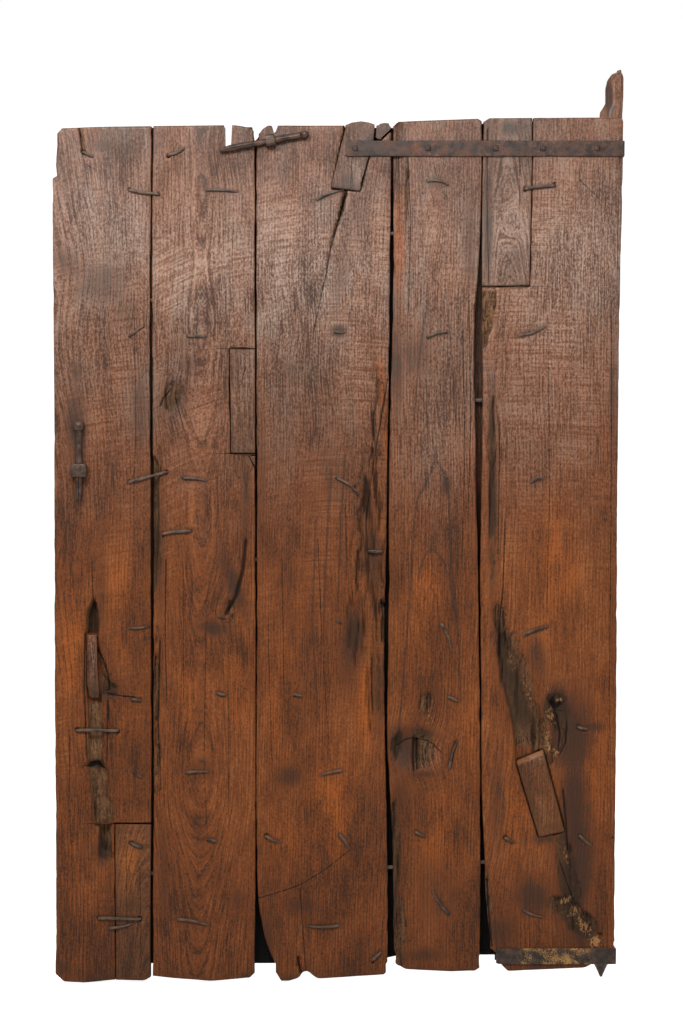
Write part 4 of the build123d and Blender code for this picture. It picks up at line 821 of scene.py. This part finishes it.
# Dowels across the joints: short square bars
dowelPlaces = [(152.5, 299.7), (152.5, 874.0), (256.2, 559.7), (256.2, 799.9), (391.9, 232.9), (390.4, 867.9), (479.1, 400.0), (481.6, 862.8)]
shells = []
for k, (across, down) in enumerate(dowelPlaces):
    x = placeX(across) + np.linspace(-0.0318, 0.0318, 14)
    path = np.stack([x, np.full(14, -0.0125), np.full(14, placeZ(down))], -1)
    half = 0.0039 * (1 + 0.1 * rough(np.linspace(0, 4, 14), k * 7.7, 2))
    shells.append(tubeFrom(barAlong(path, half, half, np.array([0.0, 0, 1]))))
addIron("edge_dowels", shells, "nail_iron")

# Straps: flat bars bent round the pivot edge

strapLook = dict(steps=300, section=26, thick=0.0045, pit=0.0006)


def strapShell(name, seed):
    # A thin section of rounded corners, carried along the face, round the edge and along the back.
    lo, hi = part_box(name)
    t = strapLook["thick"]
    outer, front, back = hi.x, leaf["front"] - t, leaf["back"] + t
    reach = outer - t - 0.260
    mid = t / 2
    corner = lambda cx, cy, a0, a1: [(cx + mid * math.cos(a), cy + mid * math.sin(a), 0) for a in np.linspace(a0, a1, 6)]
    path = [(lo.x, front + mid, 0)] + corner(outer - t, leaf["front"], -np.pi / 2, 0) + corner(outer - t, leaf["back"], 0, np.pi / 2) + [(reach, back - mid, 0)]
    path = np.asarray(path, float)
    run = np.concatenate([[0.0], np.cumsum(np.linalg.norm(np.diff(path, axis=0), axis=1))])
    s = np.unique(np.concatenate([np.linspace(0, run[-1], strapLook["steps"]), run]))
    line = np.stack([np.interp(s, run, path[:, k]) for k in range(3)], -1)
    ahead = np.gradient(line, s, axis=0)
    normal = np.stack([ahead[:, 1], -ahead[:, 0], 0 * s], -1)
    normal /= np.linalg.norm(normal, axis=1)[:, None]
    a = np.linspace(0, 2 * np.pi, strapLook["section"], endpoint=False)
    c, n = np.sign(np.cos(a)) * np.abs(np.cos(a)) ** 0.16, np.sign(np.sin(a)) * np.abs(np.sin(a)) ** 0.3
    high = (hi.z - lo.z) / 2
    edge = high * (1 - 0.035 * (1 + rough(s * 22, seed, 3))) * (1 - 0.12 * ease((0.006 - s) / 0.006))
    z = (lo.z + hi.z) / 2 + edge[:, None] * c[None, :]
    worn = mid * n[None, :] * np.where(n[None, :] > 0, 1 - 0.30 * np.clip(rough(s[:, None] * 70, z * 70 + seed, 3) + 0.25, 0, 1), 1.0)
    xy = line[:, None, :2] + normal[:, None, :2] * worn[..., None]
    return tubeFrom(np.concatenate([xy, z[..., None]], -1))


def ochre(p):
    # Dried crust on the left part of the foot strap.
    return ease((placeX(592) - p[:, 0]) / 0.02) * ease((p[:, 0] - placeX(517)) / 0.01) * (p[:, 1] < 0)


def redRust(p):
    # Fresh rust, told from the crust by its sign: a bell round each nail of the head strap.
    return -np.max([np.exp(-((p[:, 0] - placeX(x)) / 0.034) ** 2) for x in (428.1, 495.9, 542.9, 597.1)], axis=0) * (p[:, 1] < 0)


addIron("head_strap", [strapShell("head_strap", 3)], "strap_iron", crust=redRust)
addIron("foot_strap", [strapShell("foot_strap", 8)], "strap_iron", crust=ochre)
strapNails = dict(head_strap_nails=(148.6, [355.1, 428.1, 495.9, 542.9, 597.1]), foot_strap_nails=(956.1, [521.5, 588.8]))
for name, (down, places) in strapNails.items():
    lo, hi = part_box(name)
    down = float(leaf["footDown"] - (lo.z + hi.z) / 2 / leaf["unit"])
    y = leaf["front"] - strapLook["thick"]
    shells = [nailHead(across, down, y, 0.0038, 0.0126, -1, 11 + k) for k, across in enumerate(places)]
    for k, across in enumerate(places):
        path = np.stack([np.full(6, placeX(across)), np.linspace(y + 0.0002, y + 0.033, 6), np.full(6, placeZ(down))], -1)
        half = np.linspace(0.0026, 0.0014, 6)
        shells.append(tubeFrom(barAlong(path, half, half, np.array([0.0, 0, 1]))))
    addIron(name, shells, "strap_iron")

# Forged pins in their eyes, and the lower pivot

pinLook = dict(around=40, dent=0.05)


def turned(profile, origin, lean, seed):
    # A radius at each height, carried round an axis that leans in the plane of the face, dented by the hammer.
    profile = np.asarray(profile, float)
    run = np.concatenate([[0.0], np.cumsum(np.hypot(*np.diff(profile, axis=0).T))])
    s = np.linspace(0, run[-1], 90)
    h, r = np.interp(s, run, profile[:, 0]), np.interp(s, run, profile[:, 1])
    a = np.linspace(0, 2 * np.pi, pinLook["around"], endpoint=False)
    flats = 1 - 0.035 * np.abs(np.sin(4 * a))[None, :]
    rr = r[:, None] * flats * (1 - pinLook["dent"] * (0.5 + rough(h[:, None] * 90, 3 * np.sin(a)[None, :] + seed, 3)))
    x, y = rr * np.cos(a), rr * np.sin(a)
    c, sn = math.cos(math.radians(lean)), math.sin(math.radians(lean))
    z = np.broadcast_to(h[:, None], x.shape)
    return np.stack([origin[0] + x * c + z * sn, origin[1] + y, origin[2] - x * sn + z * c], -1)


def prong(h0, h1, radius, shift, origin, lean, seed):
    # One half of the split tail: a half-round bar beside the slit.
    h = np.linspace(h0, h1, 40)
    a = np.linspace(0, 2 * np.pi, 24, endpoint=False)
    bx = np.clip(np.cos(a) * radius * shift, 0.0006, None) * shift if shift > 0 else -np.clip(-np.cos(a) * radius, 0.0006, None)
    by = np.sin(a) * radius
    slim = 1 - 0.25 * ease((h0 + 0.02 - h) / 0.02) - 0.10 * rough(h * 80, seed, 2)
    x, y = bx[None, :] * slim[:, None], by[None, :] * slim[:, None]
    z = np.broadcast_to(h[:, None], x.shape)
    c, sn = math.cos(math.radians(lean)), math.sin(math.radians(lean))
    return np.stack([origin[0] + x * c + z * sn, origin[1] + y, origin[2] - x * sn + z * c], -1)


def collar(width, depth, height, bore, origin, lean, seed):
    # A band round the pin: inner circle to outer rounded block, as a closed section carried round the axis.
    a = np.linspace(0, 2 * np.pi, 64, endpoint=False)
    ca, sa = np.cos(a), np.sin(a)
    front, behind = depth[0], depth[1]
    ox = width / 2 * np.sign(ca) * np.abs(ca) ** 0.45
    oy = np.where(sa < 0, front, behind) * np.sign(sa) * np.abs(sa) ** 0.45
    ix, iy = bore * ca, bore * sa
    section = np.array([(0.0, -0.5), (0.0, 0.5), (0.35, 0.5), (0.85, 0.5), (1.0, 0.38), (1.0, -0.38), (0.85, -0.5), (0.35, -0.5)])
    m, hgt = section[:, 0], section[:, 1]
    x = ix[:, None] + (ox - ix)[:, None] * m[None, :]
    y = iy[:, None] + (oy - iy)[:, None] * m[None, :]
    z = -height / 2 + height * hgt[None, :] * (1 - 0.06 * (1 + rough(a[:, None] * 2, hgt[None, :] + seed, 2))) + 0 * x
    c, sn = math.cos(math.radians(lean)), math.sin(math.radians(lean))
    rings = np.stack([origin[0] + x * c + z * sn, origin[1] + y, origin[2] - x * sn + z * c], -1)
    count, size = rings.shape[:2]
    quads = gridQuads(count + 1, size, loop=True) % (count * size)
    return rings.reshape(-1, 3), quads, []


def spike(width, length, height, origin, lean):
    # The eye's square tail, driven into the wood.
    y = origin[1] + np.linspace(0, length, 8)
    c, sn = math.cos(math.radians(lean)), math.sin(math.radians(lean))
    path = np.stack([np.full(8, origin[0] - height / 2 * sn), y, np.full(8, origin[2] - height / 2 * c)], -1)
    half = np.linspace(width / 2, width / 2 * 0.92, 8)
    return tubeFrom(barAlong(path, half, half, np.array([c, 0, -sn])))


def splitPin(pin, eye, place, lean, ball, shank, shankLength, tail, tailLength, width, height, seed):
    # A ball, a neck and a split tail on one axis, and the eye that holds them off the face.
    stand = ball + 0.0003
    origin = (placeX(place[0]), leaf["front"] - stand, placeZ(place[1]))
    t = np.linspace(-0.9, 1.0, 14)
    knob = [(shankLength + ball * k, ball * math.sqrt(max(1 - k * k, 0.0)) + 0.0002) for k in t]
    neck = [(0.0, shank * 0.98), (0.002, shank), (shankLength * 0.5, shank * 0.86), (shankLength - ball * 1.25, shank * 0.90), (shankLength - ball * 1.1, shank * 1.02)]
    slit = -tailLength * 0.38
    body = [(slit, tail * 0.97), (-0.0005, tail)] + neck + knob
    shells = [tubeFrom(turned(body, origin, lean, seed))]
    shells.append(tubeFrom(prong(-tailLength, slit + 0.002, tail, 1, origin, lean, seed)))
    shells.append(tubeFrom(prong(-tailLength * 0.93, slit + 0.002, tail, -1, origin, lean, seed + 1)))
    addIron(pin, shells, "forged_iron", 50.0)
    depth = (tail + 0.005, stand)
    foot = (origin[0], leaf["front"] - 0.0002, origin[2])
    addIron(eye, [collar(width, depth, height, tail + 0.0004, origin, lean, seed), spike(0.011, 0.042, height, foot, lean)], "forged_iron", 40.0)


pins = dict(
    latch=dict(place=(79.5, 464.1), lean=0.0, ball=0.014, shank=0.009, shankLength=0.084, tail=0.0074, tailLength=0.081, width=0.038, height=0.029, seed=5),
    head=dict(place=(275.3, 140.4), lean=79.6, ball=0.0094, shank=0.0082, shankLength=0.066, tail=0.0070, tailLength=0.124, width=0.028, height=0.022, seed=12),
)
for key, look in pins.items():
    splitPin(key + "_pin", key + "_eye", **look)

spikeProfile = [(0.0, 0.0004), (0.0006, 0.0025), (0.010, 0.0068), (0.022, 0.0128), (0.032, 0.0176), (0.0322, 0.0080), (0.111, 0.0078), (0.112, 0.0020)]
addIron("lower_pivot", [tubeFrom(turned(spikeProfile, (0.0, 0.0, 0.0), 0.0, 21))], "forged_iron", 35.0)
print("irons made:", len(ironPieces))

# Shaders


class Field:
    # A shader value that takes part in sums with other values and plain numbers.
    def __init__(self, shader, socket):
        self.shader, self.socket = shader, socket

    def math(self, kind, *others, flip=False):
        values = [self, *others]
        if flip:
            values.reverse()
        return self.shader.make("ShaderNodeMath", dict(enumerate(values)), operation=kind)

    def __add__(self, other): return self.math("ADD", other)
    def __sub__(self, other): return self.math("SUBTRACT", other)
    def __mul__(self, other): return self.math("MULTIPLY", other)
    def __radd__(self, other): return self.math("ADD", other, flip=True)
    def __rsub__(self, other): return self.math("SUBTRACT", other, flip=True)
    def __rmul__(self, other): return self.math("MULTIPLY", other, flip=True)
    def __neg__(self): return self.math("MULTIPLY", -1.0)
    def __abs__(self): return self.math("ABSOLUTE")
    def sine(self): return self.math("SINE")
    def least(self, other): return self.math("MINIMUM", other)

    def between(self, low, high, soft=True):
        # 0 at the first bound, 1 at the second, eased or straight between them.
        inputs = {"Value": self, "From Min": low, "From Max": high, "To Min": 0.0, "To Max": 1.0}
        return self.shader.make("ShaderNodeMapRange", inputs, interpolation_type="SMOOTHSTEP" if soft else "LINEAR", clamp=True)


class Shader:
    # The nodes of a material, or of the world, and the node that its values end in.
    def __init__(self, holder, last="Principled BSDF"):
        holder.use_nodes = True
        self.holder, self.tree = holder, holder.node_tree
        self.surface = self.tree.nodes[last]

    def make(self, kind, inputs=None, output=0, **settings):
        # The one way in which nodes are made: settings first, then values or links into its sockets.
        node = self.tree.nodes.new(kind)
        for key, value in settings.items():
            setattr(node, key, value)
        for key, value in (inputs or {}).items():
            self.feed(node.inputs[key], value)
        return Field(self, node.outputs[output])

    def feed(self, socket, value):
        if isinstance(value, Field):
            self.tree.links.new(value.socket, socket)
        else:
            socket.default_value = value

    def attribute(self, name):
        return self.make("ShaderNodeAttribute", output="Fac", attribute_name=name)

    def place(self):
        return self.make("ShaderNodeTexCoord", output="Object")

    def vector(self, x, y, z):
        return self.make("ShaderNodeCombineXYZ", {0: x, 1: y, 2: z})

    def scaled(self, vector, by):
        return self.make("ShaderNodeVectorMath", {0: vector, 1: by}, operation="MULTIPLY")

    def grain(self, vector, detail=4.0, roughness=0.55, distortion=0.0):
        return self.make("ShaderNodeTexNoise", {"Vector": vector, "Scale": 1.0, "Detail": detail, "Roughness": roughness, "Distortion": distortion})

    def mix(self, share, low, high):
        return self.make("ShaderNodeMix", {0: share, 6: low, 7: high}, output=2, data_type="RGBA")

    def bump(self, height, strength, distance):
        return self.make("ShaderNodeBump", {"Height": height, "Strength": strength, "Distance": distance})

    def seen(self):
        # 1 on rays from the eye, off metal or through glass, and 0 on all others.
        path = self.make("ShaderNodeLightPath").socket.node
        fromEye, offMetal, throughGlass = (Field(self, path.outputs[f"Is {kind} Ray"]) for kind in ("Camera", "Glossy", "Transmission"))
        return (fromEye + offMetal + throughGlass).least(1.0)

    def put(self, **values):
        for key, value in values.items():
            self.feed(self.surface.inputs[key.replace("_", " ")], value)


def colour(red, green, blue):
    # A screen colour from 0 to 255 as the linear values that the shader takes.
    c = np.array([red, green, blue]) / 255.0
    c = np.where(c <= 0.04045, c / 12.92, ((c + 0.055) / 1.055) ** 2.4)
    return (*map(float, c), 1.0)


def grey(level):
    return (level, level, level, 1.0)


# pale in each look is the colour of the painted sheen.
woodLooks = dict(
    plank_wood=dict(dark=colour(48, 26, 13), mid=colour(103, 55, 24), light=colour(138, 86, 49), warm=colour(142, 74, 25), pale=colour(180, 163, 149),
                    cool=colour(77, 60, 48), stain=colour(38, 29, 24), rough=0.50, sheen=0.7),
    patch_wood=dict(dark=colour(46, 28, 17), mid=colour(94, 56, 31), light=colour(128, 86, 56), warm=colour(136, 76, 30), pale=colour(172, 152, 140),
                    cool=colour(80, 66, 57), stain=colour(34, 27, 22), rough=0.52, sheen=0.6),
    ledge_wood=dict(dark=colour(60, 45, 34), mid=colour(102, 79, 60), light=colour(138, 113, 90), warm=colour(118, 80, 52), pale=colour(150, 136, 120),
                    cool=colour(104, 94, 84), stain=colour(46, 37, 31), rough=0.75, sheen=0.0),
)
# The last colour here is a near black, the painted shade on the sides and laps of the planks that lie in the gaps
# between them.
tanColour, blackColour, gapShadeColour = colour(158, 116, 74), colour(10, 7, 5), colour(9, 6, 5)
rotDark, rotLight = colour(26, 18, 12), colour(126, 92, 64)


def woodMaterial(name, look):
    s = Shader(bpy.data.materials.new(name))
    a = {key: s.attribute(key) for key in ("ring", "saw", "sawCover", "lineNear", "lineHalf", "stain", "warm", "pale", "tan", "cavity", "hidden", "rot", "tone")}
    place = s.place()
    split = s.make("ShaderNodeSeparateXYZ", {0: place}).socket.node
    x, y, z = (Field(s, split.outputs[k]) for k in range(3))
    # Fibres drawn out along the growth rings, crumbs and patches that ignore them: each centred on nought.
    fibre = s.grain(s.vector(a["ring"] * 3.0, y * 120.0, z * 15.0), 5.0, 0.74) - 0.5
    sway = s.grain(s.vector(a["ring"] * 0.35, y * 20.0, z * 2.2), 4.0, 0.6) - 0.5
    crumb = s.grain(s.scaled(place, (230.0, 230.0, 150.0)), 4.0, 0.75) - 0.5
    patch = s.grain(s.scaled(place, (15.0, 15.0, 6.5)), 6.0, 0.66) - 0.5
    cloud = s.grain(s.scaled(place, (7.0, 7.0, 4.4)), 4.0, 0.6) - 0.5
    ringWave = ((a["ring"] + sway * 1.6 + crumb * 0.4) * 5.2).sine()
    ringLine = ringWave.between(0.35, 1.0) * (sway + patch).between(-0.14, 0.12)
    # Saw marks: broken strokes across the grain, which is fainter under them.
    stroke = s.grain(s.vector(a["saw"] * 1.25, x * 9.0, z * 0.6), 3.0, 0.6) - 0.5
    sawn = a["sawCover"] * (patch + cloud + crumb * 0.6).between(-0.14, 0.20)
    thread = fibre * (1.0 - sawn * 0.65)
    # Tone of the wood from its dark to its light colour.
    tone = 0.45 + thread * 1.7 + crumb * 1.2 + patch * 1.0 + sway * 0.5 + cloud * 0.6 - ringLine * 0.19 + a["tone"]
    # Painted shade of the light falling off towards the foot; also darker in a band at mid height and near the head.
    tone = tone - (1.0 - z.between(0.0, 0.5)) * 0.10 - z.between(0.75, 1.2) * 0.06 - z.between(1.60, 1.85) * 0.06
    base = s.mix(tone.between(0.05, 0.5, False), look["dark"], look["mid"])
    base = s.mix(tone.between(0.5, 1.0, False), base, look["light"])
    warmth = (a["warm"] * (0.75 + cloud * 1.6 + patch * 1.6)).between(0.10, 0.9) * 0.78
    base = s.mix(warmth * tone.between(0.15, 0.75), base, look["warm"])
    # Grey weathering in patches towards the head, and a painted sheen: pale threads on the ridges of the grain as
    # painted highlights, strongest in the upper half and in the pale spots.
    grey = (patch * 1.6 - cloud * 1.4 + fibre * 1.6 + crumb).between(0.0, 0.40) * 0.45 + 0.12
    base = s.mix(grey * z.between(0.65, 1.55) * (1.0 - warmth), base, look["cool"])
    threads = (0.30 + thread * 2.6 + stroke * sawn * 1.5 + crumb * 2.2 + patch * 0.8 - ringWave * 0.07 + cloud * 0.2).between(-0.05, 0.95)
    paintedSheen = (z.between(0.85, 1.70) * 0.40 + a["pale"] * 0.30) * (1.0 - z.between(1.56, 1.82) * 0.50) * (1.0 - warmth)
    base = s.mix((paintedSheen * threads).between(0.0, 1.0, False) * 0.9, base, look["pale"])
    # Saw marks: the worn crests lighter, with a painted highlight where they catch the light, and painted shade in the
    # kerfs.
    base = s.mix(stroke.between(0.02, 0.18) * sawn * 0.22, base, look["light"])
    base = s.mix((-stroke).between(0.02, 0.18) * sawn * 0.38, base, look["dark"])
    base = s.mix((crumb * 0.8 - patch * 0.5).between(0.13, 0.20) * 0.55, base, look["stain"])
    # Rotten and torn wood, stains and crusts, then painted shade in the gaps between planks, in deep hollows and in
    # cracks.
    decay = a["rot"].between(0.05, 1.0, False)
    rotten = s.mix((0.46 + fibre * 2.4 + crumb * 1.8 + a["tone"] * 0.8).between(0.15, 1.0, False), rotDark, rotLight)
    base = s.mix(decay * 0.9, base, rotten)
    staining = (a["stain"] * 0.92 + fibre * 2.8 + crumb * 2.0 + patch * 2.0 - 0.36).between(0.0, 0.55) * a["stain"].between(0.05, 0.35)
    base = s.mix(staining * 0.82, base, look["stain"])
    crust = (a["tan"] + crumb * 3.6 + fibre * 0.6 - 0.66).between(0.0, 0.25) * a["tan"].between(0.05, 0.4)
    base = s.mix(crust * 0.80, base, tanColour)
    # Painted shade: sides and laps in the gaps between planks go towards near black.
    base = s.mix(a["hidden"], base, gapShadeColour)
    # Painted shade: deep hollows and torn layers go towards black.
    deep = a["cavity"].between(0.22, 0.95)
    base = s.mix(deep * 0.86 * (1.0 - crust * 0.6), base, blackColour)
    # Painted shade inside each crack: black along the drawn lines wider than nought.
    crack = 1.0 - (abs(a["lineNear"]) + crumb * 0.0034 + fibre * 0.0016 - a["lineHalf"]).between(-0.0003, 0.0008)
    crack = crack * a["lineHalf"].between(0.0, 0.0005)
    base = s.mix(crack * 0.85, base, blackColour)
    # Lines with a width below nought are soft growth lines instead of cracks.
    softLine = 1.0 - (abs(a["lineNear"]) + crumb * 0.004 + fibre * 0.004 + a["lineHalf"]).between(-0.0006, 0.0030)
    base = s.mix(softLine * (-a["lineHalf"]).between(0.0, 0.0012) * 0.55, base, look["stain"])
    gloss = look["rough"] + crumb * 0.5 + fibre * 0.4 + deep * 0.4 + decay * 0.3 + staining * 0.08 + crust * 0.3 + a["hidden"] * 0.5
    height = fibre * (1.6 + decay * 2.0) + crumb * (1.1 + decay * 1.4) + ringWave * 0.10 - ringLine * 0.22 + patch * 0.6
    height = height + stroke * sawn * 1.1 - crack * 1.6 + crust * 0.5
    wax = (z.between(0.9, 1.75) * 0.5 + a["pale"] * 0.25) * (1.0 - decay) * (1.0 - a["hidden"]) * (0.75 + patch * 2.0) * look["sheen"]
    s.put(Base_Color=base, Roughness=gloss.between(0.0, 1.0, False), Normal=s.bump(height, 0.75, 0.0016), Coat_Weight=wax.between(0.0, 1.0, False),
          Specular_IOR_Level=0.12, Coat_Roughness=0.36)
    return s.holder


ironLooks = dict(
    nail_iron=dict(dark=colour(32, 25, 21), mid=colour(80, 66, 55), rust=colour(104, 74, 52), metallic=0.15, rough=0.45),
    strap_iron=dict(dark=colour(28, 21, 17), mid=colour(60, 45, 38), rust=colour(98, 62, 42), metallic=0.15, rough=0.48),
    forged_iron=dict(dark=colour(38, 29, 25), mid=colour(72, 56, 47), rust=colour(84, 56, 40), metallic=0.45, rough=0.36),
)
ochreColour, fleckColour = colour(158, 118, 70), colour(146, 76, 44)


def ironMaterial(name, look):
    s = Shader(bpy.data.materials.new(name))
    place = s.place()
    crust = s.attribute("crust")
    cloud = s.grain(s.scaled(place, (60.0, 60.0, 60.0)), 5.0, 0.6)
    speck = s.grain(s.scaled(place, (330.0, 330.0, 330.0)), 4.0, 0.7)
    scale = s.grain(s.scaled(place, (28.0, 28.0, 28.0)), 4.0, 0.6)
    base = s.mix(cloud.between(0.32, 0.66), look["dark"], look["mid"])
    rust = scale.between(0.48, 0.66) * speck.between(0.38, 0.62)
    base = s.mix(rust * 0.75, base, look["rust"])
    fleck = (-crust).between(0.0, 1.0, False) * (cloud * 0.5 + speck * 0.7).between(0.65, 0.74)
    base = s.mix(fleck * 0.7, base, fleckColour)
    growth = crust.between(0.0, 1.0, False) * (scale * 0.5 + cloud * 0.4 + speck * 0.7).between(0.76, 0.90)
    base = s.mix(growth * 0.9, base, ochreColour)
    height = cloud * 0.7 + speck * 0.6 + growth * 1.2
    gloss = look["rough"] + (cloud - 0.5) * 0.4 + rust * 0.25 + growth * 0.3
    s.put(Base_Color=base, Metallic=(look["metallic"] * (1.0 - rust * 0.7)) * (1.0 - growth), Roughness=gloss.between(0.0, 1.0, False),
          Normal=s.bump(height, 0.7, 0.0011), Specular_IOR_Level=0.2)
    return s.holder


materials = {key: woodMaterial(key, look) for key, look in woodLooks.items()}
materials.update({key: ironMaterial(key, look) for key, look in ironLooks.items()})
for piece, slot in list(woodPieces.values()) + list(ironPieces.values()):
    piece.data.materials.append(materials[slot])
print("materials made:", len(materials))

# Studio: a pale floor, soft lights and an even white ground

studio = dict(floor=-0.0098, ground=0.92, glow=0.8, worldLight=0.30, away=6.0)
lamps = dict(
    keyLight=dict(place=(-2.3, -2.9, 3.3), target=(-0.6, 0.0, 1.1), size=(1.6, 1.6), power=72.0, tint=(1.0, 0.97, 0.93)),
    sheenLight=dict(place=(-1.0, -2.2, 2.75), target=(-0.6, 0.0, 1.6), size=(2.0, 0.8), power=85.0, tint=(0.97, 0.985, 1.0)),
    fillLight=dict(place=(2.6, -3.2, 1.5), target=(-0.5, 0.0, 0.9), size=(2.0, 2.2), power=20.0, tint=(1.0, 0.98, 0.96)),
    backLight=dict(place=(0.8, 3.4, 2.4), target=(-0.6, 0.0, 0.9), size=(2.2, 2.2), power=60.0, tint=(1.0, 0.98, 0.96)),
)


def studioFloor():
    # A level sheet that rises in a smooth cove far behind the leaf.
    x, t = np.meshgrid(np.linspace(-9, 9, 24), np.linspace(0, 1, 60), indexing="xy")
    run = -8.0 + 22.0 * t
    rise = 4.0 * ease((run - 6.0) / 8.0) ** 2
    grid = np.stack([x, run, studio["floor"] + rise], -1)
    rows, cols = grid.shape[:2]
    sheet = meshFrom("studioFloor", grid.reshape(-1, 3), gridQuads(rows, cols))
    s = Shader(bpy.data.materials.new("studioGround"))
    glow = s.mix(s.seen(), grey(0.0), grey(1.0))
    s.put(Base_Color=grey(studio["ground"]), Roughness=0.95, Specular_IOR_Level=0.0, Emission_Color=glow, Emission_Strength=studio["glow"])
    sheet.data.materials.append(s.holder)
    sheet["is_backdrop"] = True


def softLight(name, place, target, size, power, tint):
    data = bpy.data.lights.new(name, "AREA")
    data.shape, data.size, data.size_y, data.energy, data.color = "RECTANGLE", size[0], size[1], power, tint
    light = bpy.data.objects.new(name, data)
    bpy.context.scene.collection.objects.link(light)
    light.location = place
    light.visible_camera = False
    light.rotation_euler = (Vector(target) - Vector(place)).to_track_quat("-Z", "Y").to_euler()
    light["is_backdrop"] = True


def studioWorld():
    # White to the eye and in metal, and a plain grey level as light on the leaf.
    s = Shader(bpy.data.worlds.new("studioWorld"), "Background")
    bpy.context.scene.world = s.holder
    s.put(Color=s.mix(s.seen(), grey(studio["worldLight"]), grey(1.0)), Strength=1.0)


studioFloor()
studioWorld()
for name, lamp in lamps.items():
    softLight(name, **lamp)

cameraData = bpy.data.cameras.new("camera")
camera = bpy.data.objects.new("camera", cameraData)
bpy.context.scene.collection.objects.link(camera)
bpy.context.scene.camera = camera
camera.location = (float(placeX(341.5)), leaf["front"] - studio["away"], float(placeZ(512.0)))
camera.rotation_euler = (math.pi / 2, 0.0, 0.0)
cameraData.sensor_width = 36.0
cameraData.lens = 36.0 * studio["away"] / (1024 * leaf["unit"])
bpy.context.scene.view_settings.view_transform = "Standard"
print("studio set")

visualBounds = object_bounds()
listed = lambda bounds: [[float(v) for v in corner] for corner in bounds]
dict(cad=listed(cadBounds), visual=listed(visualBounds))
